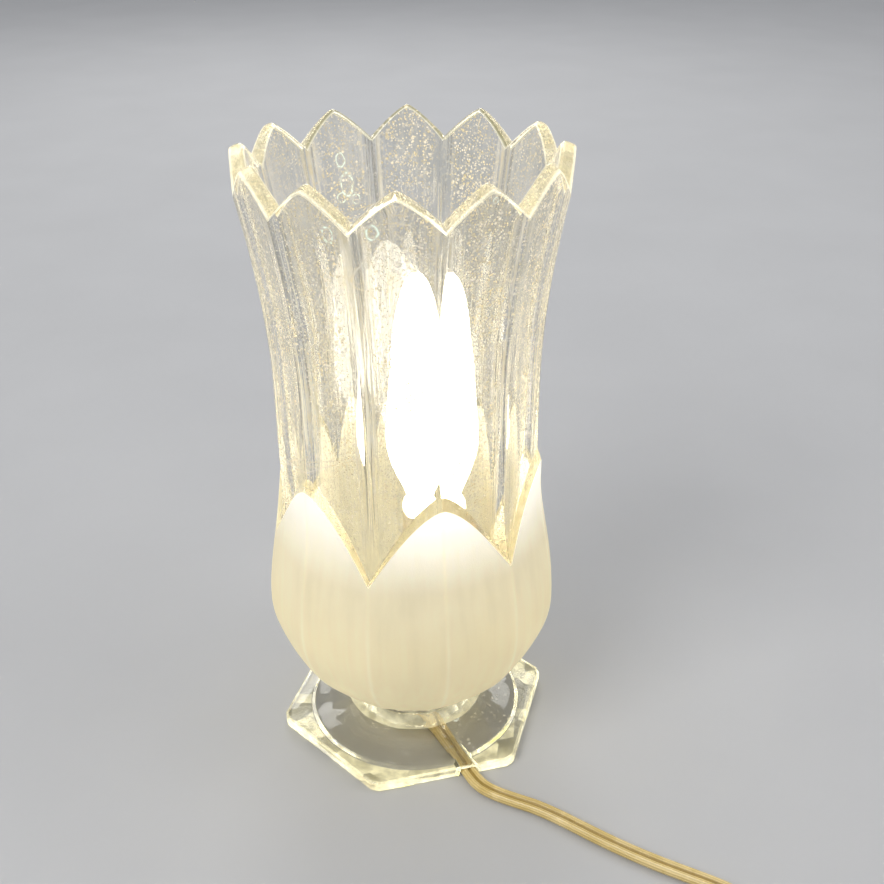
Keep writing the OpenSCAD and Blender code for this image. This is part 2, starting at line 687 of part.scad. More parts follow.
// The cord inside the lamp: in from the notch along the table, round a bend and up the nipple
module cord_inner() {
    out = [sin(notch_az), -cos(notch_az), 0];
    side = [cos(notch_az), sin(notch_az), 0];
    exit_r = norm([ROUTE_RUN[0].x, ROUTE_RUN[0].y]);
    flat = [for (t = [0:0.25:1]) out * mix(exit_r, 2 * bend_r, t) + [0, 0, cord_z]];
    bend = [for (a = [0, 15, 30, 45, 60, 75, 90])
        out * bend_r * (1 - sin(a)) + [0, 0, cord_z + bend_r * (1 - cos(a))]];
    rise = [for (t = [0.2, 0.4, 0.6, 0.8, 1]) [0, 0, mix(cord_z + bend_r, split_z, t)]];
    path = concat(flat, bend, rise);
    color([0.78, 0.66, 0.36])
    tube_skin([for (i = [0:len(path) - 1]) cord_ring(path[i], tangent(path, i), side, twin)]);
}

// Round outline of one strand
strand = [for (a = [0:45:315]) [strand_r * cos(a), strand_r * sin(a)]];

// A strand bends over towards its terminal, runs level below the socket and bends up again
function strand_path(from, to, d) =
    let (z = split_z + 0.3)
    concat(
        [[from.x, from.y, split_z]],
        [for (a = [0:22.5:90]) [for (p = from + d * split_r * (1 - cos(a))) p, z + split_r * sin(a)]],
        [for (a = [0:22.5:90]) [for (p = to - d * split_r * (1 - sin(a))) p, z + split_r * (2 - cos(a))]],
        [[to.x, to.y, terminal_z - head_r]]);

// The two strands, split apart above the nipple and led to the terminal screws
module socket_wires() {
    apart = half_w - half_t;
    color([0.78, 0.66, 0.36])
    for (s = [-1, 1]) {
        from = [s * apart * cos(notch_az), s * apart * sin(notch_az)];
        to = [socket_x, s * (flat_y + plate_t + strand_r + 0.35)];
        d = unit(to - from);
        path = strand_path(from, to, d);
        tube_skin([for (i = [0:len(path) - 1]) cord_ring(path[i], tangent(path, i), [-d.y, d.x, 0], strand)]);
    }
}

module cord_run() {
    color([0.78, 0.66, 0.36])
    tube_skin(lying_rings(ROUTE_RUN, [for (p = ROUTE_RUN) 0], twin));
}

module cord_link() {
    color([0.78, 0.66, 0.36])
    tube_skin(lying_rings(ROUTE_LINK, ROLLS_LINK, twin));
}

module cord_tail() {
    color([0.78, 0.66, 0.36])
    tube_skin(lying_rings(ROUTE_TAIL, ROLLS_TAIL, twin));
}

// The coil: on edge, spiralling in over the lower layer and out again over the upper one
function coil_radius(t) = coil_r - coil_step * (coil_turns - abs(t - coil_turns));
function coil_height(t) = mix(coil_z, coil_high_z, min(max((t - coil_turns + 0.25) * 2, 0), 1));
function coil_point(t) =
    let (a = -90 - 360 * t)
    [coil_x + coil_radius(t) * cos(a), coil_y + coil_radius(t) * sin(a), coil_height(t)];
COIL = concat([[coil_x + cord_w, coil_y - coil_r, coil_z]],
    [for (i = [0:2 * coil_turns * 360 / ring_step]) coil_point(i * ring_step / 360)],
    [[coil_x - cord_w, coil_y - coil_r, coil_high_z]]);
coil_rings = [for (i = [0:len(COIL) - 1]) cord_ring(COIL[i], tangent(COIL, i), [0, 0, 1], six)];

module cord_coil() {
    color([0.78, 0.66, 0.36])
    tube_skin(coil_rings);
}

// Places a child at the switch, with the cord's direction along X
module at_switch() {
    translate([switch_x, switch_y, 0]) rotate([0, 0, switch_a]) children();
}

// Outline of the switch seen from above, drawn in by a distance all round
module switch_outline(inset) {
    intersection() {
        switch_sides(inset);
        square([switch_l - 2 * inset, 2 * switch_w], center = true);
    }
}

module switch_sides(inset) {
    intersection() {
        translate([0, switch_curve_y]) circle(r = switch_side_r - inset, $fn = 128);
        translate([0, -switch_curve_y]) circle(r = switch_side_r - inset, $fn = 128);
    }
}

// What is hollow in the switch: the wheel's slot, the contact chamber, the cord's mouths and the holes
module switch_hollows() {
    slot_h = wheel_t + 2 * free_gap;
    translate([0, 0, switch_mid]) cylinder(r = wheel_r + 0.5, h = slot_h, center = true, $fn = 96);
    translate([0, 0, switch_mid]) cube([2 * chamber_u, 9, chamber_h], center = true);
    for (s = [-1, 1]) {
        translate([s * (switch_l / 2), 0, switch_mid]) cube([6, cord_w + 0.5, cord_t + 0.5], center = true);
        translate([s * screw_u, 0, -1]) cylinder(r = screw_r + thread_gap, h = switch_h - 1, $fn = 32);
        translate([s * screw_u, 0, -1]) cylinder(r = head_r + 0.1, h = 2.7, $fn = 32);
    }
    translate([0, 0, switch_wall]) cylinder(r = pin_r + 0.02, h = switch_h - 2 * switch_wall, $fn = 48);
}

module switch_lower() {
    color([0.93, 0.9, 0.8])
    at_switch()
    difference() {
        linear_extrude(switch_mid) switch_outline(0);
        switch_hollows();
    }
}

module switch_upper() {
    color([0.93, 0.9, 0.8])
    at_switch()
    difference() {
        union() {
            translate([0, 0, switch_mid]) linear_extrude(switch_mid - 1) switch_outline(0);
            translate([0, 0, switch_h - 1]) linear_extrude(1) switch_outline(1);
        }
        switch_hollows();
    }
}

// Thumb wheel with finger grooves, turning on the pin
module switch_wheel() {
    color([0.9, 0.87, 0.76])
    at_switch()
    translate([0, 0, switch_mid])
    difference() {
        cylinder(r = wheel_r, h = wheel_t, center = true, $fn = 96);
        cylinder(r = pin_r + 0.06, h = wheel_t + 2, center = true, $fn = 48);
        for (i = [0:wheel_grooves - 1])
        rotate([0, 0, i * 360 / wheel_grooves])
        translate([wheel_r + 0.55, 0, 0])
        cylinder(r = 1, h = wheel_t + 2, center = true, $fn = 24);
        translate([0, 0, wheel_t / 2]) cube([15.2, 3.2, 2 * 0.9], center = true);
    }
}

// Brass bar let into the wheel that joins the two contacts
module switch_bridge() {
    color([0.85, 0.72, 0.38])
    at_switch()
    difference() {
        translate([0, 0, switch_mid + wheel_t / 2 - 0.45]) cube([15, 3, 0.8], center = true);
        translate([0, 0, switch_mid]) cylinder(r = pin_r + 0.3, h = wheel_t + 2, $fn = 48);
    }
}

module switch_pin() {
    color([0.75, 0.75, 0.77])
    at_switch()
    translate([0, 0, switch_wall + 0.02])
    cylinder(r = pin_r, h = switch_h - 2 * switch_wall - 0.04, $fn = 48);
}

// Two brass leaves beside the wheel, bent over its top
module switch_contacts() {
    t = 0.5;
    low = switch_mid - chamber_h / 2 + t / 2;
    high = switch_mid + chamber_h / 2 - t;
    touch = switch_mid + wheel_t / 2 + free_gap + t / 2;
    color([0.85, 0.72, 0.38])
    at_switch()
    for (s = [-1, 1])
    translate([0, 2.5, 0])
    rotate([90, 0, 0])
    linear_extrude(5)
    polygon(strip_outline([[s * leaf_x, low], [s * leaf_x, high], [s * 10, high], [s * 6, touch]], t));
}

module switch_screws() {
    color([0.8, 0.68, 0.36])
    at_switch()
    for (s = [-1, 1])
    translate([s * screw_u, 0, 1.65])
    rotate([180, 0, 0])
    screw(switch_h - 4.4);
}

// Places a child at the cord's end, with X along the plug towards its blades
module at_plug() {
    translate([plug_x, plug_y, plug_z]) rotate([0, 0, plug_a]) children();
}

// Outline of one half of a grip, mirrored to the other side
function both_sides(half) = concat(half, [for (i = [len(half) - 1:-1:0]) [half[i].x, -half[i].y]]);

// Moulded plug: a tapered relief with ribs, then a grip that is waisted seen from above
module plug_body() {
    x1 = relief_l;
    x2 = relief_l + plug_l;
    seen_from_above = both_sides([[x1 - 1, 6.5], [x1 + 4, 9.2], [x1 + 10, 8.8], [x1 + 16, 10.2],
        [x1 + 20, plug_w / 2], [x2 - 1, plug_w / 2], [x2, plug_w / 2 - 1]]);
    seen_from_side = both_sides([[x1 - 1, 4.2], [x1 + 5, 5.8], [x1 + 18, plug_h / 2 - 0.6],
        [x2 - 2, plug_h / 2], [x2, plug_h / 2 - 1.2]]);
    color([0.74, 0.62, 0.34])
    at_plug()
    difference() {
        union() {
            intersection() {
                translate([0, 0, -plug_h / 2]) linear_extrude(plug_h) polygon(seen_from_above);
                translate([0, plug_w, 0])
                rotate([90, 0, 0])
                linear_extrude(2 * plug_w)
                polygon(seen_from_side);
            }
            intersection() {
                translate([0.4, 0, 0]) rotate([0, 90, 0]) cylinder(r1 = 4, r2 = 6.4, h = x1, $fn = 48);
                translate([-1, 0, 0]) rotate([0, 90, 0]) cylinder(r = 6.2, h = x1 + 3, $fn = 48);
            }
            for (i = [0:3])
            translate([2.6 + 4.4 * i, 0, 0])
            rotate([0, 90, 0])
            cylinder(r = 4.9 + 0.45 * i, h = 1.8, $fn = 48);
        }
        for (slot = [[blade_gap / 2, blade_w], [-blade_gap / 2, wide_blade_w]])
        translate([x2 - blade_in, slot[0] - blade_t / 2 - thread_gap, -slot[1] / 2 - thread_gap])
        cube([blade_in + 1, blade_t + 2 * thread_gap, slot[1] + 2 * thread_gap]);
    }
}

// One blade with a round-cornered tip and its hole, lying along X from the bottom of its slot
module blade(w) {
    l = blade_l + blade_in;
    rotate([90, 0, 0])
    translate([0, 0, -blade_t / 2])
    linear_extrude(blade_t)
    difference() {
        union() {
            translate([0, -w / 2]) square([l - 2, w]);
            translate([0, 2 - w / 2]) square([l, w - 4]);
            for (s = [-1, 1]) translate([l - 2, s * (w / 2 - 2)]) circle(r = 2, $fn = 32);
        }
        translate([l - 5, 0]) circle(r = 1.6, $fn = 32);
    }
}

module plug_blades() {
    x = relief_l + plug_l - blade_in;
    color([0.85, 0.72, 0.38])
    at_plug() {
        translate([x, blade_gap / 2, 0]) blade(blade_w);
        translate([x, -blade_gap / 2, 0]) blade(wide_blade_w);
    }
}

// Least gap between the coil's turns, on the points of rings that are whole turns apart, or nearly
per_turn = 360 / ring_step;
last_ring = len(coil_rings) - 1;
gaps = [for (i = [0:2:last_ring]) for (turn = [1:2 * coil_turns]) for (shift = [-1, 0, 1])
    let (k = i + turn * per_turn + shift)
    if (k <= last_ring) for (p = coil_rings[i]) for (q = coil_rings[k]) norm(p - q)];
echo("least gap between turns of the coil", min(gaps));

glass_body();
rubber_washers();
steel_washers();
hex_nuts();
nipple();
nipple_bushing();
bracket();
bracket_screw();
socket_body();
socket_screw_shell();
socket_contact();
socket_terminals();
terminal_screws();
bulb_envelope();
bulb_cap();
bulb_insulator();
bulb_contact();
bulb_stem();
bulb_leads();
bulb_filament();
cord_inner();
socket_wires();
cord_run();
cord_link();
cord_coil();
cord_tail();
switch_lower();
switch_upper();
switch_wheel();
switch_bridge();
switch_pin();
switch_contacts();
switch_screws();
plug_body();
plug_blades();
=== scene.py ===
"""Table lamp: a pressed crystal vase on a six-sided foot, lit by a candle bulb inside, with its cord.

Lengths are written in millimetres and scaled to metres where a mesh is made. Azimuths are in degrees,
counted from the lamp's front, -Y, towards +X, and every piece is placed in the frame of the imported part.
"""
import json
import math

import bmesh
import bpy
import numpy as np
from mathutils import Matrix, Vector


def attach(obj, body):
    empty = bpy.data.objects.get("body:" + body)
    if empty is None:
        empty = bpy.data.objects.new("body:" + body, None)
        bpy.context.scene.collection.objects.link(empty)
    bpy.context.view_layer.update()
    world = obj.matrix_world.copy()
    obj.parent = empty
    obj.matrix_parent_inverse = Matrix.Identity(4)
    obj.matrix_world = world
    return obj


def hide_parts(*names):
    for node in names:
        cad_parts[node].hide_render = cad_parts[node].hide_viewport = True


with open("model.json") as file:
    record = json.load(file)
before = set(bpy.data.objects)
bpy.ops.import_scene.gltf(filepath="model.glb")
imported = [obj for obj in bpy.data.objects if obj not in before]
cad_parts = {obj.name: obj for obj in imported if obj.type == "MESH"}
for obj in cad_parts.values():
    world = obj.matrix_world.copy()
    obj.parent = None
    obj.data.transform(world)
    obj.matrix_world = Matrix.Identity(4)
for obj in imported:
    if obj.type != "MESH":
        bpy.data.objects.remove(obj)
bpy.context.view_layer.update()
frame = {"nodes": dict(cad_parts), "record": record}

MM = 0.001

# Vase: the sizes of the part's source
GLASS_H = 206.0
RIM_R = 50.0
WAIST_R = 40.7
FLARE_Z = 135.0
FLARE_POWER = 1.8
TOOTH_H = 9.8
TOOTH_POWER = 1.25
RIM_WALL = 4.8
WAIST_WALL = 4.6
RIM_FALL = 2.2
RIM_ROUND = 0.8
BORE_FLARE_Z = 157.0
BOWL_R = 47.6
BOWL_Z = 56.0
BOWL_DEPTH = 44.0
WAIST_Z = 101.0
PETAL_TIP_Z = 108.0
PETAL_NOTCH_Z = 82.0
PETAL_POWER = 1.45
PETAL_T = 1.9
BEVEL_TIP_H = 4.3
BEVEL_NOTCH_H = 1.4
PETAL_FACET = 0.6
NECK_FACET = 0.2
FLOOR_Z = 24.0
FLOOR_ROUND = 16.0
BORE_DRAFT = 0.02
WAIST_WALL_Z = 120.0
FOOT_AP = 41.8
EDGE_H = 4.0
FOOT_H = 8.0
FOOT_DIP = 0.6
CORNER_CUT = 0.9
COLLAR_R = 23.5
NECK_R = 20.5
RECESS_R = 37.3
RECESS_EDGE_H = 2.4
RECESS_H = 3.8
POCKET_R = 17.0
POCKET_H = 9.5
HOLE_R = 5.7
NOTCH_AZ = 12.0
NOTCH_HALF = 4.6
NOTCH_H = 3.0

# Bulb
SOCKET_X = 6.5
BULB_Z = 66.0
BULB_L = 101.0
BULB_R = 17.4
BULB_NECK_R = 5.7
BULB_NECK_Z = 82.1
BULB_WIDE_H = 28.9
BULB_WALL = 0.8

# Places of the dried water drops: middle, width and height
WATER_MARKS = [
    (-11.1, 41.1, 190.6, 1.7, 2.8), (-9.4, 40.2, 183.2, 2.5, 4.6), (-11.6, 38.9, 179, 1.8, 2),
    (-6.7, 39.8, 177.8, 1.5, 2), (-28.7, -38.1, 193.9, 1.9, 3), (-18.4, -44.2, 195.4, 2, 2.5),
    (13.5, -47.1, 201.8, 0.9, 1.2), (9.2, -21.9, 7, 1.5, 1.9),
]

# Cord
CORD_W = 5.4
CORD_T = 2.7
COIL_AT = (14.0, -170.0)
COIL_R = 35.6
COIL_TURNS = 4
COIL_STEP = 3.4
COIL_Z = 2.75
COIL_RISE = 6.2

# Camera, from the photograph's perspective
CAMERA_AT = (-73.9, -327.8, 293.8)
CAMERA_HEADING = 14.513
CAMERA_DOWN = 28.905
CAMERA_ROLL = -0.483
CAMERA_LENS = 48.2
SENSOR = 36.0


def mix(a, b, t):
    return a + (b - a) * t


def make_camera():
    """The camera looks along its heading, tipped down and rolled a little, as the photograph's did."""
    heading, down, roll = (math.radians(v) for v in (CAMERA_HEADING, CAMERA_DOWN, CAMERA_ROLL))
    forward = Vector((math.sin(heading) * math.cos(down), math.cos(heading) * math.cos(down), -math.sin(down)))
    level = Vector((math.cos(heading), -math.sin(heading), 0.0))
    up = level.cross(forward)
    right = level * math.cos(roll) + up * math.sin(roll)
    top = up * math.cos(roll) - level * math.sin(roll)
    camera = bpy.data.objects.new("camera", bpy.data.cameras.new("camera"))
    camera.data.lens = CAMERA_LENS
    camera.data.sensor_width = SENSOR
    camera.data.clip_start = 0.01
    camera.data.clip_end = 50.0
    turn = Matrix((right, top, -forward)).transposed().to_4x4()
    camera.matrix_world = Matrix.Translation(Vector(CAMERA_AT) * MM) @ turn
    bpy.context.scene.collection.objects.link(camera)
    bpy.context.scene.camera = camera


# Meshes

def new_piece(name, points, faces, material, body="root", slot=None):
    """A smooth mesh object at the origin, from points in millimetres, that rides on a body."""
    mesh = bpy.data.meshes.new(name)
    mesh.from_pydata((np.asarray(points, float) * MM).tolist(), [], [list(f) for f in faces])
    work = bmesh.new()
    work.from_mesh(mesh)
    bmesh.ops.remove_doubles(work, verts=work.verts, dist=1e-7)
    bmesh.ops.recalc_face_normals(work, faces=work.faces)
    work.to_mesh(mesh)
    work.free()
    mesh.polygons.foreach_set("use_smooth", np.ones(len(mesh.polygons), bool))
    mesh.materials.append(material)
    piece = bpy.data.objects.new(name, mesh)
    bpy.context.scene.collection.objects.link(piece)
    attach(piece, body)
    return piece


def grid_faces(cols, rows, around, along):
    """Quads between neighbouring columns and rows of a grid, joined up where around or along is true."""
    i, j = np.meshgrid(np.arange(cols if around else cols - 1), np.arange(rows if along else rows - 1),
                       indexing="ij")
    i, j = i.ravel(), j.ravel()
    i2, j2 = (i + 1) % cols, (j + 1) % rows
    return np.stack([i * rows + j, i2 * rows + j, i2 * rows + j2, i * rows + j2], axis=1)


def lathe(profile, centre=(0.0, 0.0), steps=96):
    """Points and quads of a profile of [radius, height] turned about an upright axis through centre."""
    profile = np.asarray(profile, float)
    turn = np.linspace(0, 2 * np.pi, steps, endpoint=False)[:, None]
    x = centre[0] + profile[:, 0] * np.cos(turn)
    y = centre[1] + profile[:, 0] * np.sin(turn)
    points = np.stack([x, y, np.broadcast_to(profile[:, 1], x.shape)], axis=2)
    return points.reshape(-1, 3), grid_faces(steps, len(profile), True, False)


def smooth_line(points, step):
    """A Catmull-Rom curve through the points, resampled so that its points lie about a step apart."""
    p = np.asarray(points, float)
    p = np.vstack([2 * p[0] - p[1], p, 2 * p[-1] - p[-2]])
    t = np.linspace(0, 1, 24, endpoint=False)[:, None]
    parts = [0.5 * (2 * b + (c - a) * t + (2 * a - 5 * b + 4 * c - d) * t**2 + (3 * b - a - 3 * c + d) * t**3)
             for a, b, c, d in zip(p, p[1:], p[2:], p[3:])]
    line = np.vstack(parts + [p[-2:-1]])
    run = np.concatenate([[0], np.cumsum(np.linalg.norm(np.diff(line[:, :3], axis=0), axis=1))])
    at = np.linspace(0, run[-1], max(2, round(run[-1] / step) + 1))
    return np.stack([np.interp(at, run, line[:, k]) for k in range(p.shape[1])], axis=1)


def unit_rows(v):
    return v / np.linalg.norm(v, axis=1, keepdims=True)


def swept(path, across, outline):
    """Points and faces of an outline carried along a path, with its first axis along the rows of across.

    Every ring stands square to the path, and both ends are closed by a face."""
    along = unit_rows(np.gradient(path, axis=0))
    across = unit_rows(across - along * np.sum(across * along, axis=1, keepdims=True))
    third = np.cross(along, across)
    points = (path[:, None, :] + outline[None, :, :1] * across[:, None, :]
              + outline[None, :, 1:2] * third[:, None, :])
    rings, sides = points.shape[:2]
    faces = [list(f) for f in grid_faces(rings, sides, False, True)]
    faces += [list(range(sides)), list(range((rings - 1) * sides, rings * sides))]
    return points.reshape(-1, 3), faces


# Materials

def material(name):
    """A new node material with its Principled shader."""
    mat = bpy.data.materials.new(name)
    mat.use_nodes = True
    return mat, mat.node_tree.nodes, mat.node_tree.links, mat.node_tree.nodes["Principled BSDF"]


def noise(mat, scale, detail=3.0, stretch=(1, 1, 1), kind="ShaderNodeTexNoise"):
    """A noise or Voronoi texture in the piece's own coordinates, scaled per metre."""
    nodes, links = mat.node_tree.nodes, mat.node_tree.links
    where, place, tex = (nodes.new(k) for k in ("ShaderNodeTexCoord", "ShaderNodeMapping", kind))
    place.inputs["Scale"].default_value = stretch
    tex.inputs["Scale"].default_value = scale
    tex.inputs["Detail"].default_value = detail
    links.new(where.outputs["Object"], place.inputs["Vector"])
    links.new(place.outputs["Vector"], tex.inputs["Vector"])
    return tex


def ramp(mat, source, stops):
    """A colour ramp over the source, with stops of (place, colour)."""
    node = mat.node_tree.nodes.new("ShaderNodeValToRGB")
    mat.node_tree.links.new(source, node.inputs["Fac"])
    elements = node.color_ramp.elements
    while len(elements) < len(stops):
        elements.new(0.5)
    for element, (place, colour) in zip(elements, stops):
        element.position = place
        element.color = (*colour, 1.0) if len(colour) == 3 else colour
    return node.outputs["Color"]


def span(mat, source, low, high, to_low, to_high):
    """The source mapped from one range onto another, held at the ends."""
    node = mat.node_tree.nodes.new("ShaderNodeMapRange")
    node.inputs["From Min"].default_value = low
    node.inputs["From Max"].default_value = high
    node.inputs["To Min"].default_value = to_low
    node.inputs["To Max"].default_value = to_high
    mat.node_tree.links.new(source, node.inputs["Value"])
    return node.outputs["Result"]


def bump(mat, height, strength, distance):
    """A bump of the given height in metres, into the shader's normal."""
    node = mat.node_tree.nodes.new("ShaderNodeBump")
    node.inputs["Strength"].default_value = strength
    node.inputs["Distance"].default_value = distance
    mat.node_tree.links.new(height, node.inputs["Height"])
    mat.node_tree.links.new(node.outputs["Normal"], mat.node_tree.nodes["Principled BSDF"].inputs["Normal"])


def tint_glass(mat):
    """Absorption inside the glass that leaves long ways through it a pale yellow."""
    volume = mat.node_tree.nodes.new("ShaderNodeVolumeAbsorption")
    volume.inputs["Color"].default_value = (0.88, 0.86, 0.58, 1.0)
    volume.inputs["Density"].default_value = 3.5
    out = mat.node_tree.nodes["Material Output"]
    mat.node_tree.links.new(volume.outputs["Volume"], out.inputs["Volume"])


def wire(mat, source, socket):
    """Sets a socket to a number, or links another socket to it."""
    if isinstance(source, (int, float, tuple)):
        socket.default_value = source
    else:
        mat.node_tree.links.new(source, socket)


def sum_of(mat, operation, a, b=0.0):
    """A math node on sockets or numbers."""
    node = mat.node_tree.nodes.new("ShaderNodeMath")
    node.operation = operation
    wire(mat, a, node.inputs[0])
    wire(mat, b, node.inputs[1])
    return node.outputs["Value"]


def vector_of(mat, operation, a, b=(0.0, 0.0, 0.0)):
    """A vector math node on sockets or vectors."""
    node = mat.node_tree.nodes.new("ShaderNodeVectorMath")
    node.operation = operation
    wire(mat, a, node.inputs[0])
    wire(mat, b, node.inputs[1])
    return node.outputs["Value" if operation == "LENGTH" else "Vector"]


def blend(mat, amount, a, b):
    """A colour between two, by the amount."""
    node = mat.node_tree.nodes.new("ShaderNodeMix")
    node.data_type = "RGBA"
    wire(mat, amount, node.inputs[0])
    wire(mat, (*a, 1.0) if isinstance(a, tuple) else a, node.inputs[6])
    wire(mat, (*b, 1.0) if isinstance(b, tuple) else b, node.inputs[7])
    return node.outputs[2]


def place_of(mat):
    return mat.node_tree.nodes.new("ShaderNodeTexCoord").outputs["Object"]


def height_of(mat):
    split = mat.node_tree.nodes.new("ShaderNodeSeparateXYZ")
    mat.node_tree.links.new(place_of(mat), split.inputs[0])
    return split.outputs["Z"]


def ridge_lines(mat, width):
    """1 along the upright ridges every 30 degrees round the axis, falling to 0 at a width in degrees."""
    split = mat.node_tree.nodes.new("ShaderNodeSeparateXYZ")
    mat.node_tree.links.new(place_of(mat), split.inputs[0])
    turn = sum_of(mat, "ARCTAN2", split.outputs["X"], split.outputs["Y"])
    return span(mat, sum_of(mat, "PINGPONG", turn, math.radians(15)), 0.0, math.radians(width), 1.0, 0.0)


def upright_lines(mat, scale):
    """Noise drawn out up the wall: it changes with the turn round the axis, and hardly with the height."""
    nodes, links = mat.node_tree.nodes, mat.node_tree.links
    split, join, tex = (nodes.new(k) for k in ("ShaderNodeSeparateXYZ", "ShaderNodeCombineXYZ", "ShaderNodeTexNoise"))
    links.new(place_of(mat), split.inputs[0])
    turn = sum_of(mat, "ARCTAN2", split.outputs["X"], sum_of(mat, "MULTIPLY", split.outputs["Y"], -1.0))
    links.new(sum_of(mat, "MULTIPLY", turn, WAIST_R * MM), join.inputs["X"])
    links.new(sum_of(mat, "MULTIPLY", split.outputs["Z"], 0.02), join.inputs["Y"])
    links.new(join.outputs["Vector"], tex.inputs["Vector"])
    tex.inputs["Scale"].default_value = scale
    return tex.outputs["Fac"]


def water_mark_glow(mat):
    """1 on the dried rims of a few water drops, each a stretched ring about its own place on the glass.

    The rims glow there in emission, a painted glint.
    """
    wobble = span(mat, noise(mat, 320.0, 1.0).outputs["Fac"], 0.3, 0.7, -0.16, 0.16)
    nearest = 9.0
    for x, y, z, wide, tall in WATER_MARKS:
        away = vector_of(mat, "SUBTRACT", place_of(mat), (x * MM, y * MM, z * MM))
        scaled = vector_of(mat, "MULTIPLY", away, (1000 / wide, 1000 / wide, 1000 / tall))
        ring = sum_of(mat, "SUBTRACT", vector_of(mat, "LENGTH", scaled), 0.8)
        nearest = sum_of(mat, "MINIMUM", sum_of(mat, "ABSOLUTE", sum_of(mat, "ADD", ring, wobble)), nearest)
    broken = span(mat, noise(mat, 900.0, 2.0).outputs["Fac"], 0.4, 0.55, 0.35, 1.0)
    return sum_of(mat, "MULTIPLY", span(mat, nearest, 0.04, 0.24, 1.0, 0.0), broken)


def scratch_glints(mat):
    """1 along a few fine wandering scratches, painted glints: the thin lines where a drawn-out noise passes one
    level.
    """
    lay = noise(mat, 22.0, 0.0, (0.5, 0.5, 3.0)).outputs["Fac"]
    off = sum_of(mat, "ABSOLUTE", sum_of(mat, "SUBTRACT", lay, 0.56))
    patch = span(mat, noise(mat, 30.0).outputs["Fac"], 0.5, 0.58, 0.0, 1.0)
    return sum_of(mat, "MULTIPLY", span(mat, off, 0.001, 0.005, 0.55, 0.0), patch)


def speck_glints(mat, scale, size, above):
    """Dots at the middles of the Voronoi cells whose random grey is above a value."""
    cells = noise(mat, scale, 0.0, kind="ShaderNodeTexVoronoi").outputs
    dot = span(mat, cells["Distance"], 0.6 * size, size, 1.0, 0.0)
    return sum_of(mat, "MULTIPLY", dot, span(mat, cells["Color"], above, above + 0.2, 0.0, 1.0))


def near(mat, place, inside, outside):
    """1 within a distance of a place, falling to 0 at a wider one."""
    away = vector_of(mat, "LENGTH", vector_of(mat, "SUBTRACT", place_of(mat), place))
    return span(mat, away, inside, outside, 1.0, 0.0)


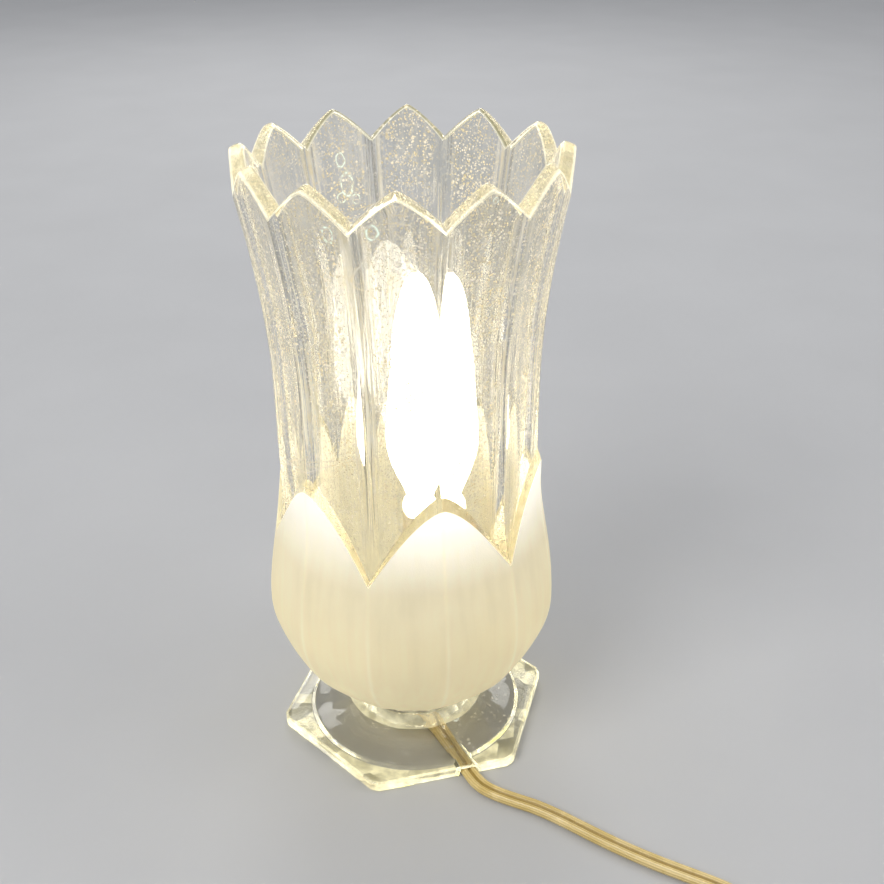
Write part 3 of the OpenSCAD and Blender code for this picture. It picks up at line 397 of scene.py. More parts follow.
def crystal():
    """Clear pressed glass with a film of dust. Specks and scratches glow gold, and water marks pale green, in
    emission: painted glints of the bulb's light.

    Fine upright lines stand on the panels, the more so beside their ridges: the light ones are painted
    highlights that glow, the dark ones painted shade in the colour."""
    mat, nodes, links, shader = material("crystal")
    high = span(mat, height_of(mat), 0.085, 0.12, 0.0, 1.0)
    dust = noise(mat, 40.0, 3.0).outputs["Fac"]
    clear_of = span(mat, ridge_lines(mat, 6.0), 0.0, 0.6, 1.0, 0.15)
    # Painted glints: fine specks on the upper glass, away from the ridges, that glow in emission.
    fine = sum_of(mat, "MULTIPLY", speck_glints(mat, 1250.0, 0.42, 0.36), span(mat, dust, 0.35, 0.6, 0.4, 0.95))
    fine = sum_of(mat, "MULTIPLY", sum_of(mat, "MULTIPLY", fine, high), clear_of)
    where = sum_of(mat, "MAXIMUM", near(mat, (-0.004, 0.042, 0.183), 0.01, 0.024),
                   near(mat, (-0.02, 0.032, 0.105), 0.01, 0.024))
    where = sum_of(mat, "MAXIMUM", where, span(mat, dust, 0.5, 0.6, 0.15, 0.9))
    where = sum_of(mat, "MULTIPLY", where, span(mat, height_of(mat), 0.03, 0.06, 0.3, 1.0))
    # Painted glints: coarser specks, most near two places and where the dust lies, that glow in emission.
    coarse = sum_of(mat, "MULTIPLY", speck_glints(mat, 620.0, 0.36, 0.5), sum_of(mat, "MULTIPLY", where, clear_of))
    # Painted highlights and painted shade: upright lines, light ones that glow and dark ones in the colour, most
    # beside the ridges and high up.
    lines = upright_lines(mat, 900.0)
    beside = sum_of(mat, "MULTIPLY", sum_of(mat, "MAXIMUM", ridge_lines(mat, 7.0), 0.12),
                    span(mat, height_of(mat), 0.09, 0.125, 0.0, 1.0))
    beside = sum_of(mat, "MULTIPLY", beside, span(mat, height_of(mat), 0.15, 0.17, 1.0, 0.6))
    light = sum_of(mat, "MULTIPLY", span(mat, lines, 0.55, 0.6, 0.0, 0.9), beside)
    dark = sum_of(mat, "MULTIPLY", span(mat, lines, 0.38, 0.44, 0.5, 0.0), beside)
    # Painted glints: all that glows below, from the specks, the light lines, the scratches and the water marks.
    painted_glints = sum_of(mat, "MAXIMUM", sum_of(mat, "MAXIMUM", fine, coarse),
                    sum_of(mat, "MAXIMUM", light, sum_of(mat, "MULTIPLY", scratch_glints(mat), high)))
    painted_marks = water_mark_glow(mat)
    painted_glints = sum_of(mat, "MAXIMUM", painted_glints, painted_marks)
    hue = span(mat, noise(mat, 300.0, 1.0).outputs["Fac"], 0.4, 0.56, 0.0, 1.0)
    # Colour of the painted glints: gold, paler on the light lines, and pale green on the water marks.
    gold = blend(mat, hue, (1.0, 0.83, 0.5), (1.0, 0.91, 0.74))
    gold = blend(mat, light, gold, (1.0, 0.94, 0.72))
    film = span(mat, dust, 0.3, 0.7, 0.0, 1.0)
    film = sum_of(mat, "MULTIPLY", film, span(mat, height_of(mat), 0.01, 0.08, 0.25, 1.0))
    film = blend(mat, film, (0.95, 0.945, 0.92), (0.82, 0.815, 0.76))
    cover = sum_of(mat, "MAXIMUM", painted_glints, dark)
    # Painted shade: the colour turns dark brown on the dark lines and under the glints, which let less light through.
    links.new(blend(mat, span(mat, cover, 0.0, 0.5, 0.0, 1.0), film, (0.13, 0.115, 0.08)),
              shader.inputs["Base Color"])
    links.new(sum_of(mat, "SUBTRACT", 1.0, cover), shader.inputs["Transmission Weight"])
    links.new(blend(mat, painted_marks, gold, (0.8, 0.93, 0.82)), shader.inputs["Emission Color"])
    links.new(sum_of(mat, "MULTIPLY", painted_glints, 0.95), shader.inputs["Emission Strength"])
    links.new(span(mat, cover, 0.3, 0.8, 0.012, 0.07), shader.inputs["Roughness"])
    shader.inputs["IOR"].default_value = 1.52
    bump(mat, noise(mat, 60.0, 2.0, (1, 1, 0.25)).outputs["Fac"], 0.25, 0.0008)
    tint_glass(mat)
    return mat


def lit_glass(name, foot):
    """Ground and fire-polished edges with a painted glow, in emission, where the light led inside the glass comes
    out: pale yellow, uneven.

    On the foot it comes out in hard-edged wedges, which are Voronoi cells, most of it along the front edge. On
    the rim and the bevel it is stronger and whiter on the rounded borders, and at the back."""
    mat, nodes, links, shader = material(name)
    cloud = noise(mat, 260.0, 4.0).outputs["Fac"]
    # Painted glow: emission in uneven clouds.
    glow = span(mat, cloud, 0.35, 0.65, *((0.12, 0.36) if foot else (0.06, 0.1)))
    hue = (1.0, 0.92, 0.58) if foot else (1.0, 0.93, 0.66)
    split = nodes.new("ShaderNodeSeparateXYZ")
    links.new(place_of(mat), split.inputs[0])
    if foot:
        # Painted glow: hard-edged wedges of it, and more along the front edge.
        wedge = noise(mat, 95.0, 0.0, kind="ShaderNodeTexVoronoi").outputs["Color"]
        wedge = span(mat, wedge, 0.38, 0.62, 0.08, 1.6)
        wedge = sum_of(mat, "MAXIMUM", wedge, span(mat, split.outputs["Y"], -0.039, -0.033, 1.3, 0.0))
        glow = sum_of(mat, "MULTIPLY", glow, sum_of(mat, "MAXIMUM", wedge,
                                                    span(mat, split.outputs["Z"], 0.0002, 0.001, 0.0, 1.2)))
    else:
        # Painted glow: stronger at the back, and stronger and whiter on the rounded borders.
        glow = sum_of(mat, "MULTIPLY", glow, span(mat, split.outputs["Y"], 0.0, 0.04, 1.0, 1.9))
        border = nodes.new("ShaderNodeAttribute")
        border.attribute_name = "border"
        border = sum_of(mat, "POWER", border.outputs["Fac"], 1.6)
        glow = sum_of(mat, "ADD", glow, sum_of(mat, "MULTIPLY", border, 0.32))
        links.new(blend(mat, border, hue, (1.0, 0.97, 0.86)), shader.inputs["Emission Color"])
    pale = ((1.0, 0.98, 0.86), (1.0, 1.0, 0.97)) if foot else ((0.82, 0.79, 0.62), (0.9, 0.88, 0.8))
    links.new(ramp(mat, cloud, [(0.35, pale[0]), (0.65, pale[1])]), shader.inputs["Base Color"])
    shader.inputs["Transmission Weight"].default_value = 0.92
    shader.inputs["IOR"].default_value = 1.52
    shader.inputs["Emission Color"].default_value = (*hue, 1.0)
    links.new(glow, shader.inputs["Emission Strength"])
    links.new(span(mat, cloud, 0.3, 0.7, 0.02, 0.16), shader.inputs["Roughness"])
    bump(mat, noise(mat, 500.0, 3.0).outputs["Fac"], 0.35, 0.0004)
    tint_glass(mat)
    return mat


def frosted():
    """The petals: acid-frosted outside, with a painted glow of the bulb's light in emission, whiter and brighter
    towards the tips, where the colour, tan low down, is whiter too: partly painted light.

    The tips away from the bulb, to the left, glow less. Faint lighter lines, painted highlights, stand on the
    panels' ridges, and faint upright streaks in the glow between them. The back is paler and greyer."""
    mat, nodes, links, shader = material("frosted_crystal")
    up = span(mat, height_of(mat), 0.02, 0.104, 0.0, 1.0)
    cloud = noise(mat, 45.0, 4.0).outputs["Fac"]
    streak = noise(mat, 260.0, 3.0, (1, 1, 0.06)).outputs["Fac"]
    # Colour by height: tan low and whiter towards the tips, partly painted light of the bulb.
    tone_and_painted_light = ramp(mat, up, [(0.0, (0.77, 0.7, 0.46)), (0.7, (0.73, 0.64, 0.41)), (1.0, (0.82, 0.8, 0.72))])
    tone_and_painted_light = blend(mat, span(mat, cloud, 0.3, 0.7, 0.0, 0.3), tone_and_painted_light, (0.81, 0.73, 0.5))
    split = nodes.new("ShaderNodeSeparateXYZ")
    links.new(place_of(mat), split.inputs[0])
    # Paler and greyer at the back, in the colour and in the painted glow.
    back = span(mat, split.outputs["Y"], 0.0, 0.03, 0.0, 1.0)
    links.new(blend(mat, back, tone_and_painted_light, (0.8, 0.77, 0.64)), shader.inputs["Base Color"])
    shader.inputs["Transmission Weight"].default_value = 0.15
    shader.inputs["IOR"].default_value = 1.45
    links.new(span(mat, cloud, 0.3, 0.7, 0.55, 0.68), shader.inputs["Roughness"])
    # Painted highlights: lighter lines in the glow along the ridges.
    ridge = ridge_lines(mat, 1.3)
    warm = ramp(mat, up, [(0.0, (1.0, 0.88, 0.56)), (0.45, (1.0, 0.86, 0.54)), (0.75, (1.0, 0.95, 0.78)),
                          (1.0, (1.0, 0.99, 0.97))])
    warm = blend(mat, back, warm, (1.0, 0.95, 0.8))
    links.new(blend(mat, ridge, warm, (1.0, 0.88, 0.64)), shader.inputs["Emission Color"])
    # Painted light: the tips glow more, and less so to the left, away from the bulb.
    tips = sum_of(mat, "MULTIPLY", span(mat, up, 0.72, 1.0, 0.0, 0.36),
                  span(mat, split.outputs["X"], -0.045, -0.005, 0.55, 1.0))
    glow = sum_of(mat, "ADD", span(mat, up, 0.0, 0.7, 0.28, 0.22), tips)
    glow = sum_of(mat, "MULTIPLY", glow, span(mat, streak, 0.3, 0.7, 0.86, 1.12))
    glow = sum_of(mat, "MULTIPLY", glow, span(mat, cloud, 0.3, 0.7, 0.92, 1.06))
    glow = sum_of(mat, "ADD", glow, sum_of(mat, "MULTIPLY", ridge, 0.05))
    links.new(glow, shader.inputs["Emission Strength"])
    bump(mat, noise(mat, 2500.0, 2.0).outputs["Fac"], 0.3, 0.0002)
    tint_glass(mat)
    return mat


def bulb_glass():
    """White-coated bulb, alight."""
    mat, nodes, links, shader = material("lit_bulb")
    shader.inputs["Base Color"].default_value = (0.95, 0.94, 0.9, 1.0)
    shader.inputs["Roughness"].default_value = 0.3
    shader.inputs["Emission Strength"].default_value = 14.0
    warm = noise(mat, 30.0, 2.0)
    links.new(ramp(mat, warm.outputs["Fac"], [(0.3, (1.0, 0.9, 0.72)), (0.7, (1.0, 0.94, 0.82))]),
              shader.inputs["Emission Color"])
    return mat


def metal(name, dark, light, rough, scale=130.0, stretch=(1, 1, 1)):
    """A metal whose colour and gloss vary a little over its surface."""
    mat, nodes, links, shader = material(name)
    shader.inputs["Metallic"].default_value = 1.0
    tone = noise(mat, scale, 3.0, stretch)
    links.new(ramp(mat, tone.outputs["Fac"], [(0.35, dark), (0.65, light)]), shader.inputs["Base Color"])
    links.new(span(mat, tone.outputs["Fac"], 0.3, 0.7, rough, rough + 0.09), shader.inputs["Roughness"])
    return mat


def plastic(name, dark, light, rough, scale=120.0, coat=0.0):
    """A moulded plastic or rubber with a faint mottle and a fine moulded grain."""
    mat, nodes, links, shader = material(name)
    tone = noise(mat, scale, 4.0)
    links.new(ramp(mat, tone.outputs["Fac"], [(0.35, dark), (0.65, light)]), shader.inputs["Base Color"])
    links.new(span(mat, tone.outputs["Fac"], 0.3, 0.7, rough, rough + 0.1), shader.inputs["Roughness"])
    shader.inputs["Coat Weight"].default_value = coat
    bump(mat, noise(mat, 1800.0, 2.0).outputs["Fac"], 0.2, 0.0001)
    return mat


def clear_part(name, colour):
    """Thin clear glass inside the bulb."""
    mat, nodes, links, shader = material(name)
    shader.inputs["Base Color"].default_value = (*colour, 1.0)
    shader.inputs["Transmission Weight"].default_value = 1.0
    cloud = noise(mat, 400.0)
    links.new(span(mat, cloud.outputs["Fac"], 0.3, 0.7, 0.02, 0.08), shader.inputs["Roughness"])
    return mat


# Cord

ROUTE_RUN = [
    (8.5, -40, 1.4), (9.56, -45, 1.4), (11.3, -49.4, 1.4), (14.8, -53.6, 1.4), (19.6, -57.8, 1.4),
    (25.4, -62.6, 1.4), (31, -68.4, 1.4), (36.4, -74.8, 1.4), (41.8, -81.2, 1.4), (48, -88, 1.4),
    (54.6, -94.6, 1.4), (61.4, -100.8, 1.4), (67.6, -106.4, 1.4), (72.4, -111.6, 1.4), (75.6, -117.2, 1.8),
    (77.4, -123.2, 3.2), (77.9, -129.4, 5.2), (77.1, -135.5, 7), (75.9, -140.2, 7.5), (74.9, -143.8, 7.5),
]
ROUTE_LINK = [
    (64.3, -183.4, 7.5), (63.1, -187.8, 7.5), (60.7, -193.6, 6.6), (56.9, -198.6, 5.2), (51.9, -202.4, 4),
    (46.1, -204.8, 3.2), (39.9, -205.6, 2.75), (33, -205.6, 2.75), (26, -205.6, 2.75), (19.4, -205.6, 2.75),
]
ROLLS_LINK = [0, 0, 18, 38, 58, 76, 90, 90, 90, 90]
ROUTE_TAIL = [
    (8.6, -205.6, 8.95), (3.2, -205.6, 8.95), (-2.5, -205.6, 8.3), (-8.2, -205.6, 6.9), (-14.7, -204.7, 5),
    (-21, -202.1, 3.5), (-26.4, -198, 2.8), (-30.5, -192.6, 2.9), (-33.1, -186.3, 3.6), (-34, -179.6, 5),
    (-34, -173.4, 6.8), (-34, -168.4, 7.8), (-34, -163, 7.8),
]
ROLLS_TAIL = [90, 90, 90, 90, 90, 90, 86, 74, 56, 34, 14, 0, 0]
CORD_STEP = 2.5
BEND_R = 5.5
SPLIT_Z = 44.5
SPLIT_R = 2.5
STRAND_R = 1.25
TERMINAL_Y = 10.6
TERMINAL_Z = 52.1
ROUND = np.radians(np.arange(0, 360, 15))


def twin_outline(ribs=True):
    """The flat cord's section: two round strands, a thin web between them and fine ribs round each.

    Each strand is an arc about its own centre, whose radius swells a little at every rib."""
    strand = CORD_T / 2
    turn = np.radians(np.linspace(-146, 146, 45 if ribs else 13))
    radius = strand + (0.08 * np.cos(turn * 9) - 0.08 if ribs else 0.0)
    right = np.stack([strand + radius * np.cos(turn), radius * np.sin(turn)], axis=1)
    return np.vstack([right, -right])


def mark_groove_shade(piece):
    """Writes how deep each point of a flat cord lies in a groove, as painted shade: 1 between the strands, less
    between ribs.
    """
    turn = np.linspace(-146, 146, 45)
    middle = np.clip((np.abs(turn) - 110) / 28, 0, 1)
    depth = np.tile(np.maximum(middle, 0.5 * (0.5 - 0.5 * np.cos(np.radians(turn * 9)))), 2)
    rings, rest = divmod(len(piece.data.vertices), len(depth))
    assert rest == 0
    painted_marks = piece.data.attributes.new("groove_shade", "FLOAT", "POINT")
    painted_marks.data.foreach_set("value", np.tile(depth, rings))


def cord_vinyl():
    """Translucent gold vinyl with painted shade: darker in the grooves along the cord, lighter on its ribs."""
    mat = plastic("gold_vinyl", (0.72, 0.54, 0.19), (0.88, 0.7, 0.33), 0.22, coat=0.4)
    base = mat.node_tree.nodes["Principled BSDF"].inputs["Base Color"]
    # Painted shade: the colour darkens to dark brown in the cord's grooves.
    groove_shade = mat.node_tree.nodes.new("ShaderNodeAttribute")
    groove_shade.attribute_name = "groove_shade"
    mat.node_tree.links.new(blend(mat, groove_shade.outputs["Fac"], base.links[0].from_socket, (0.38, 0.255, 0.06)), base)
    return mat


def lying_across(path, rolls):
    """The direction of the cord's width: level across the path, turned up out of the level by the roll."""
    along = unit_rows(np.gradient(path, axis=0))
    level = unit_rows(np.cross(along, [0.0, 0.0, 1.0]))
    roll = np.radians(rolls)[:, None]
    return level * np.cos(roll) + np.cross(level, along) * np.sin(roll)


def lying(points, rolls):
    """A lying stretch: its smooth path and the direction of its width."""
    line = smooth_line(np.column_stack([points, rolls]), CORD_STEP)
    return line[:, :3], lying_across(line[:, :3], line[:, 3])


def coil_path():
    """The coil: a spiral inwards on the lower layer and outwards again on the upper one.

    The radius falls by one step a turn and grows again, and the height climbs in the half turn between."""
    t = np.linspace(0, 2 * COIL_TURNS, round(2 * COIL_TURNS * 2 * math.pi * 0.8 * COIL_R / CORD_STEP))
    radius = COIL_R - COIL_STEP * (COIL_TURNS - np.abs(t - COIL_TURNS))
    turn = np.radians(-90 - 360 * t)
    z = COIL_Z + COIL_RISE * np.clip((t - COIL_TURNS + 0.25) * 2, 0, 1)
    return np.stack([COIL_AT[0] + radius * np.cos(turn), COIL_AT[1] + radius * np.sin(turn), z], axis=1)


def make_cords(vinyl):
    """The cord from the foot to the switch, and from the switch by way of the coil to the plug."""
    outline = twin_outline()
    path, across = lying(ROUTE_RUN, [0] * len(ROUTE_RUN))
    to_switch = new_piece("cord_to_switch", *swept(path, across, outline), vinyl, slot="cord")
    mark_groove_shade(to_switch)
    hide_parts("cord_run")

    link, link_across = lying(ROUTE_LINK, ROLLS_LINK)
    coil = coil_path()
    tail, tail_across = lying(ROUTE_TAIL, ROLLS_TAIL)
    path = np.vstack([link, coil, tail])
    across = np.vstack([link_across, np.tile([0.0, 0.0, 1.0], (len(coil), 1)), tail_across])
    to_plug = new_piece("cord_to_plug", *swept(path, across, outline), vinyl, slot="cord")
    mark_groove_shade(to_plug)
    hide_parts("cord_link", "cord_coil", "cord_tail")


def make_inner_cord(vinyl):
    """The cord inside: level from the notch to the middle, round a bend, up the stem and split in two."""
    out = np.array([math.sin(math.radians(NOTCH_AZ)), -math.cos(math.radians(NOTCH_AZ)), 0.0])
    side = np.array([-out[1], out[0], 0.0])
    turn = np.radians(np.linspace(0, 90, 12))[:, None]
    low = np.array([0, 0, ROUTE_RUN[0][2]])
    level = low + out * np.linspace(math.hypot(*ROUTE_RUN[0][:2]), BEND_R, 24, endpoint=False)[:, None]
    bend = low + out * BEND_R * (1 - np.sin(turn)) + np.array([0, 0, BEND_R]) * (1 - np.cos(turn))
    rise = np.array([0, 0, 1.0]) * np.linspace(bend[-1, 2] + 2, SPLIT_Z, 20)[:, None]
    path = np.vstack([level, bend, rise])
    inner = new_piece("cord_inside", *swept(path, np.tile(side, (len(path), 1)), twin_outline()), vinyl,
                      slot="cord")
    mark_groove_shade(inner)
    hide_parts("cord_inner")

    points, faces = [], []
    for way in (-1, 1):
        start = way * (CORD_W - CORD_T) / 2 * side
        end = np.array([SOCKET_X, way * TERMINAL_Y, 0.0])
        towards = (end - start) / np.linalg.norm(end - start)
        up = np.array([0, 0, 1.0])
        over = start + towards * SPLIT_R * (1 - np.cos(turn)) + up * (SPLIT_Z + 0.3 + SPLIT_R * np.sin(turn))
        under = end - towards * SPLIT_R * (1 - np.sin(turn)) + up * (SPLIT_Z + 0.3 + SPLIT_R * (2 - np.cos(turn)))
        route = smooth_line(np.vstack([start + up * SPLIT_Z, over, under, end + up * TERMINAL_Z]), 0.5)
        outline = STRAND_R * np.column_stack([np.cos(ROUND), np.sin(ROUND)])
        tube, quads = swept(route, np.tile(np.cross(up, towards), (len(route), 1)), outline)
        faces += [[i + len(points) for i in face] for face in quads]
        points += tube.tolist()
    strands = new_piece("socket_strands", points, faces, vinyl, slot="cord")
    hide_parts("socket_wires")


# Glass

def facet(turn, share):
    """How much further out a flat panel is at this turn from its middle."""
    return 1 + share * (1 / np.cos(np.radians(turn)) - 1)


def bowl_share(z):
    return np.where(z > WAIST_Z, 0.0, (1 + np.cos(np.pi * (z - BOWL_Z) / (WAIST_Z - BOWL_Z))) / 2)


def panel_r(z):
    """Panel radius at a height: the waist, with the bowl's bulge below and the flare above."""
    bulge = BOWL_R - PETAL_T - WAIST_R
    flare = np.clip((z - FLARE_Z) / (GLASS_H - FLARE_Z), 0, None) ** FLARE_POWER
    return WAIST_R + bulge * bowl_share(z) + (RIM_R - WAIST_R) * flare


def straight_bore_r(z):
    return WAIST_R - WAIST_WALL + BORE_DRAFT * (z - WAIST_WALL_Z)


def bore_r(z):
    """Bore radius at a height: straight with a little taper, then a cone that opens out to the rim."""
    cone = mix(straight_bore_r(BORE_FLARE_Z), RIM_R - RIM_WALL, (z - BORE_FLARE_Z) / (GLASS_H - BORE_FLARE_Z))
    return np.where(z > BORE_FLARE_Z, cone, straight_bore_r(z))


def fillet(before, corner, after, size, steps=5):
    """A small parabola that rounds a corner, for every azimuth at once."""
    def towards(other):
        gap = other - corner
        return corner + gap * np.minimum(0.45, size / np.linalg.norm(gap, axis=-1, keepdims=True))
    a, b = towards(before), towards(after)
    t = np.linspace(0, 1, steps)[:, None, None]
    return list((1 - t) ** 2 * a + 2 * t * (1 - t) * corner + t**2 * b)


def rounded(controls):
    """A line of control points per azimuth, each with the size of its rounding, 0 for none.

    Also gives the row at which each control point starts."""
    rows, starts = [], []
    for k, (point, size) in enumerate(controls):
        starts.append(len(rows))
        if size and 0 < k < len(controls) - 1:
            rows += fillet(controls[k - 1][0], point, controls[k + 1][0], size)
        else:
            rows.append(point)
    return rows, starts


def foot_outline(azimuth):
    petal = np.abs((azimuth + 30) % 60 - 30)
    return np.minimum(FOOT_AP / np.cos(np.radians(petal)), FOOT_AP / math.cos(math.radians(30)) - CORNER_CUT)


def glass_section(azimuth):
    """The cut through the glass at every azimuth, as rows of [radius, height], which rows are which, and how
    far each is a rounded border of the rim or the bevel, from 0 to 1.

    It starts at the hole under the foot and goes out, up the outside, over the rim and down inside."""
    panel = np.abs(azimuth % 30 - 15)
    petal = np.abs((azimuth + 30) % 60 - 30)
    whole = np.ones_like(azimuth)

    def at(r, z):
        return np.stack([r * whole, z * whole], axis=-1)

    foot = foot_outline(azimuth)
    lift = NOTCH_H * np.clip((NOTCH_HALF + 0.3 - np.abs(azimuth - NOTCH_AZ)) / 0.4, 0, 1)
    rim_z = GLASS_H - TOOTH_H * (panel / 15) ** TOOTH_POWER
    petal_z = mix(PETAL_TIP_Z, PETAL_NOTCH_Z, (petal / 30) ** PETAL_POWER)
    bowl_turn = math.asin(NECK_R / BOWL_R)
    bowl_start = BOWL_Z - BOWL_DEPTH * math.cos(bowl_turn)

    controls = [(at(HOLE_R, POCKET_H), 0), (at(POCKET_R, POCKET_H), 1.2), (at(POCKET_R + 1, RECESS_H), 1.0),
                (at(mix(POCKET_R, RECESS_R, 0.55), mix(RECESS_H, RECESS_EDGE_H, 0.5)), 2.0),
                (at(RECESS_R - 1, np.maximum(RECESS_EDGE_H, lift)), 0.3), (at(RECESS_R, lift), 0.25),
                (at(foot - 0.8, lift), 0.25),
                (at(foot, np.maximum(0.4, lift) + 0.3), 0.2), (at(foot, EDGE_H - 0.35), 0.2)]
    for t in np.linspace(0, 0.94, 9):
        hollow = FOOT_DIP * (1 - (petal / 30) ** 2) * math.sin(math.pi * t)
        controls.append((at(mix(foot - 0.6, COLLAR_R, t), mix(EDGE_H, FOOT_H, t**1.3) - hollow),
                         0.25 if t == 0 else 0))
    collar_from = len(controls)
    controls += [(at(COLLAR_R * facet(panel, 0.5), FOOT_H), 0.7),
                 (at(mix(COLLAR_R, NECK_R, 0.55) * facet(panel, 1), FOOT_H + 1), 0.7),
                 (at(NECK_R * facet(panel, 1), mix(FOOT_H, bowl_start, 0.4)), 1.0)]
    frost_from = len(controls)
    controls += [(at(NECK_R * facet(panel, 1), mix(FOOT_H, bowl_start, t)), 0) for t in (0.6, 0.75)]
    for t in np.linspace(0, 1, 26):
        turn = mix(bowl_turn, math.pi / 2, t)
        controls.append((at(BOWL_R * math.sin(turn) * facet(panel, mix(NECK_FACET, PETAL_FACET, t)),
                            BOWL_Z - BOWL_DEPTH * math.cos(turn)), 0))
    for t in np.linspace(0, 1, 22)[1:]:
        z = mix(BOWL_Z, petal_z, t)
        controls.append((at((panel_r(z) + PETAL_T) * facet(panel, PETAL_FACET), z), 0.35 if t == 1 else 0))
    petal_edge = len(controls) - 1
    panel_foot = petal_z + mix(BEVEL_TIP_H, BEVEL_NOTCH_H, petal / 30)
    controls.append((at(panel_r(panel_foot) * facet(panel, 1), panel_foot), 0.35))
    for t in np.linspace(0, 1, 40)[1:]:
        z = mix(panel_foot, rim_z - RIM_FALL, t)
        controls.append((at(panel_r(z) * facet(panel, 1), z), 0))
    rim_from = len(controls) - 1
    out, into = panel_r(rim_z) * facet(panel, 1), bore_r(rim_z)
    controls += [(at(mix(out, into, 0.08), rim_z - 0.68 * RIM_FALL), 0.5),
                 (at(mix(out, into, 0.45), rim_z - 0.2 * RIM_FALL), 1.0), (at(mix(out, into, 0.82), rim_z), 0.6),
                 (at(bore_r(rim_z - RIM_ROUND), rim_z - RIM_ROUND), 0.35)]
    rim_to = len(controls) - 1
    controls += [(at(bore_r(z), z), 0) for z in (mix(rim_z - RIM_ROUND, BORE_FLARE_Z + 2, t)
                                                 for t in np.linspace(0, 1, 14)[1:])]
    corner_z = FLOOR_Z + FLOOR_ROUND
    controls += [(at(bore_r(np.array(z)), z), 0.8 if z == BORE_FLARE_Z else 0)
                 for z in np.linspace(BORE_FLARE_Z, corner_z, 34)]
    corner_r = straight_bore_r(corner_z)
    for turn in np.radians(np.linspace(0, 90, 13)[1:]):
        controls.append((at(corner_r - FLOOR_ROUND * (1 - math.cos(turn)),
                            FLOOR_Z + FLOOR_ROUND * (1 - math.sin(turn))), 0))
    controls += [(at(r, FLOOR_Z), 0) for r in (14.0, 10.0, HOLE_R + 0.6)]
    controls.append((at(HOLE_R, FLOOR_Z - 0.6), 0))
    rows, starts = rounded(controls)
    # How far each row is a rounded border, where the rim's and bevel's material paints a stronger, whiter glow.
    border = np.zeros(len(rows))
    border[starts[petal_edge] + 2:starts[petal_edge + 1]] = (1.0, 0.7, 0.3)
    border[starts[rim_from]:starts[rim_from + 2]] = 1.0
    border[starts[rim_to]:starts[rim_to + 1] + 1] = 1.0
    return (np.stack(rows, axis=1), range(starts[frost_from], starts[petal_edge] + 2),
            range(starts[petal_edge] + 2, starts[petal_edge + 1] + 2), range(starts[rim_from], starts[rim_to] + 3),
            range(starts[collar_from], starts[frost_from]), border)


def make_glass(clear, frost, rim_glow, foot_glow):
    """The glass body: its section at every whole degree, joined round.

    The petals' outside is frosted and painted to glow. The rim's top, the bevel along the petals, the collar, the
    foot's upright edge and the ring that it stands on take a painted glow, in emission, of the bulb's light that
    the glass gathers."""
    azimuth = np.arange(0.0, 360.0)
    section, frosted_rows, bevel_rows, rim_rows, collar_rows, border = glass_section(azimuth)
    r, z = section[..., 0], section[..., 1]
    turn = np.radians(azimuth)[:, None]
    points = np.stack([r * np.sin(turn), -r * np.cos(turn), z], axis=2)
    cols, rows = r.shape
    faces = grid_faces(cols, rows, True, True)
    edge = ((z < EDGE_H + 0.2) & (r > foot_outline(azimuth)[:, None] - 0.9)) | ((z < 0.01) & (r > RECESS_R - 0.1))
    # Which material: 0 clear with painted glints, 1 frosted with a painted glow, 2 and 3 glass with a painted glow of
    # the bulb's light.
    finish_and_glow = np.zeros(len(faces), np.int32)
    finish_and_glow[np.isin(faces[:, 0] % rows, frosted_rows)] = 1
    finish_and_glow[np.isin(faces[:, 0] % rows, [*rim_rows, *bevel_rows])] = 2
    finish_and_glow[edge.ravel()[faces].all(axis=1) | np.isin(faces[:, 0] % rows, collar_rows)] = 3
    mesh = bpy.data.meshes.new("crystal_vase")
    mesh.from_pydata((points.reshape(-1, 3) * MM).tolist(), [], faces.tolist())
    for mat in (clear, frost, rim_glow, foot_glow):
        mesh.materials.append(mat)
    mesh.polygons.foreach_set("material_index", finish_and_glow)
    mesh.polygons.foreach_set("use_smooth", np.ones(len(faces), bool))
    borders = mesh.attributes.new("border", "FLOAT", "POINT")
    borders.data.foreach_set("value", np.tile(border, cols))
    mesh.update()
    vase = bpy.data.objects.new("crystal_vase", mesh)
    bpy.context.scene.collection.objects.link(vase)
    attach(vase, "root")
    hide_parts("glass_body")


def make_bulb(glass):
    """The bulb's glass: a swell from the neck to its widest part, then a long taper to a blunt tip."""
    length = BULB_Z + BULB_L - BULB_NECK_Z

    def side(wall):
        low = np.linspace(0, 1, 24, endpoint=False)
        swell = mix(BULB_NECK_R, BULB_R, (1 - np.cos(np.pi * low)) / 2) - wall
        u = np.sin(np.linspace(0, np.pi / 2, 40))
        taper = (BULB_R - wall) * (1 - 0.56 * u**1.25) * np.sqrt(np.clip(1 - u**8, 0, 1))
        return np.column_stack([np.concatenate([swell, taper]),
                                BULB_NECK_Z + np.concatenate([low * BULB_WIDE_H,
                                                              mix(BULB_WIDE_H, length - wall, u)])])
    profile = np.vstack([side(0.0), side(BULB_WALL)[::-1]])
    profile = np.vstack([profile, profile[:1]])
    bulb = new_piece("candle_bulb", *lathe(profile, (SOCKET_X, 0.0)), glass, body="bulb", slot="bulb_glass")
    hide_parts("bulb_envelope")


def dress_nodes(finishes):
    """Gives every CAD node that shows the finish of its kind."""
    record = frame["record"]
    slots = {s["node"]: s["material_slot"] for s in record["subparts"]}
    for name, node in frame["nodes"].items():
        node.data.materials.clear()
        node.data.materials.append(finishes[slots[name]])


# Stage

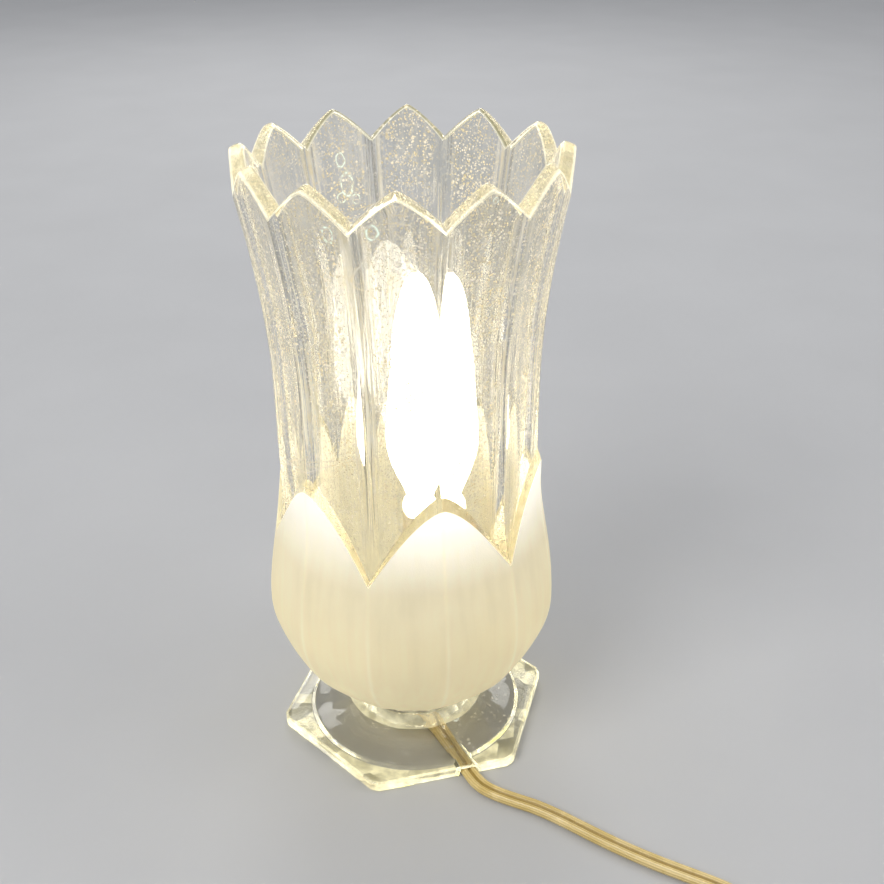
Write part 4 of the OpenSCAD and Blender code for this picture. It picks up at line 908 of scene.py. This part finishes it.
def make_stage():
    """A pale floor out to the horizon, a pale world and three soft lamps."""
    mat, nodes, links, shader = material("floor_paper")
    shader.inputs["Roughness"].default_value = 0.9
    links.new(ramp(mat, noise(mat, 12.0).outputs["Fac"], [(0.3, (0.5, 0.5, 0.5)), (0.7, (0.52, 0.52, 0.52))]),
              shader.inputs["Base Color"])
    turn = np.radians(np.arange(0, 360, 3.75))
    points = np.column_stack([9.0 * np.cos(turn), 9.0 * np.sin(turn), np.full(len(turn), -0.0001)])
    mesh = bpy.data.meshes.new("floor")
    mesh.from_pydata(points.tolist(), [], [list(range(len(turn)))])
    mesh.materials.append(mat)
    floor = bpy.data.objects.new("floor", mesh)
    bpy.context.scene.collection.objects.link(floor)

    world = bpy.data.worlds.new("studio")
    bpy.context.scene.world = world
    world.use_nodes = True
    world.node_tree.nodes["Background"].inputs["Color"].default_value = (0.93, 0.95, 1.0, 1.0)
    world.node_tree.nodes["Background"].inputs["Strength"].default_value = 0.55

    lamps = [("key", (-0.9, -0.6, 1.1), 0.8, 9.0), ("fill", (1.1, -0.5, 0.7), 0.9, 4.0),
             ("back", (0.2, 1.2, 0.9), 0.7, 5.0)]
    for name, place, size, power in lamps:
        lamp = bpy.data.objects.new(name, bpy.data.lights.new(name, "AREA"))
        lamp.data.shape = "DISK"
        lamp.data.size = size
        lamp.data.energy = power
        lamp.location = place
        lamp.rotation_mode = "QUATERNION"
        aim = Vector((0.0, 0.0, 0.1)) - Vector(place)
        lamp.rotation_quaternion = aim.to_track_quat("-Z", "Y")
        bpy.context.scene.collection.objects.link(lamp)


make_camera()
gold_vinyl = cord_vinyl()
make_cords(gold_vinyl)
make_inner_cord(gold_vinyl)
clear_glass = crystal()
make_glass(clear_glass, frosted(), lit_glass("lit_rim_crystal", False), lit_glass("lit_foot_crystal", True))
lit = bulb_glass()
make_bulb(lit)
brass = metal("brass", (0.62, 0.45, 0.17), (0.76, 0.58, 0.26), 0.2)
steel = metal("zinc_steel", (0.5, 0.5, 0.51), (0.66, 0.66, 0.67), 0.3)
dress_nodes({
    "crystal": clear_glass, "bulb_glass": lit, "stem_glass": clear_part("stem_glass", (0.93, 0.96, 0.97)),
    "black_glass": plastic("black_glass", (0.01, 0.01, 0.012), (0.02, 0.02, 0.022), 0.12),
    "brass": brass, "steel": steel, "solder": metal("solder", (0.5, 0.5, 0.49), (0.6, 0.6, 0.58), 0.4),
    "lead_wire": metal("lead_wire", (0.6, 0.6, 0.61), (0.72, 0.72, 0.73), 0.2),
    "filament": metal("filament", (0.8, 0.5, 0.25), (0.9, 0.62, 0.33), 0.4),
    "rubber": plastic("rubber", (0.5, 0.36, 0.2), (0.6, 0.46, 0.28), 0.6),
    "white_plastic": plastic("white_plastic", (0.78, 0.78, 0.75), (0.84, 0.84, 0.81), 0.4),
    "ivory_plastic": plastic("ivory_plastic", (0.72, 0.65, 0.5), (0.8, 0.74, 0.6), 0.3),
    "cord": gold_vinyl,
    "switch_plastic": plastic("switch_plastic", (0.4, 0.28, 0.08), (0.46, 0.33, 0.11), 0.35),
    "wheel_plastic": plastic("wheel_plastic", (0.33, 0.22, 0.06), (0.38, 0.27, 0.085), 0.4),
    "plug_plastic": plastic("plug_vinyl", (0.4, 0.28, 0.08), (0.46, 0.33, 0.11), 0.38),
})
make_stage()

bpy.context.scene.view_settings.view_transform = "Standard"
bpy.context.scene.cycles.max_bounces = 32
bpy.context.scene.cycles.glossy_bounces = 24
bpy.context.scene.cycles.transmission_bounces = 32
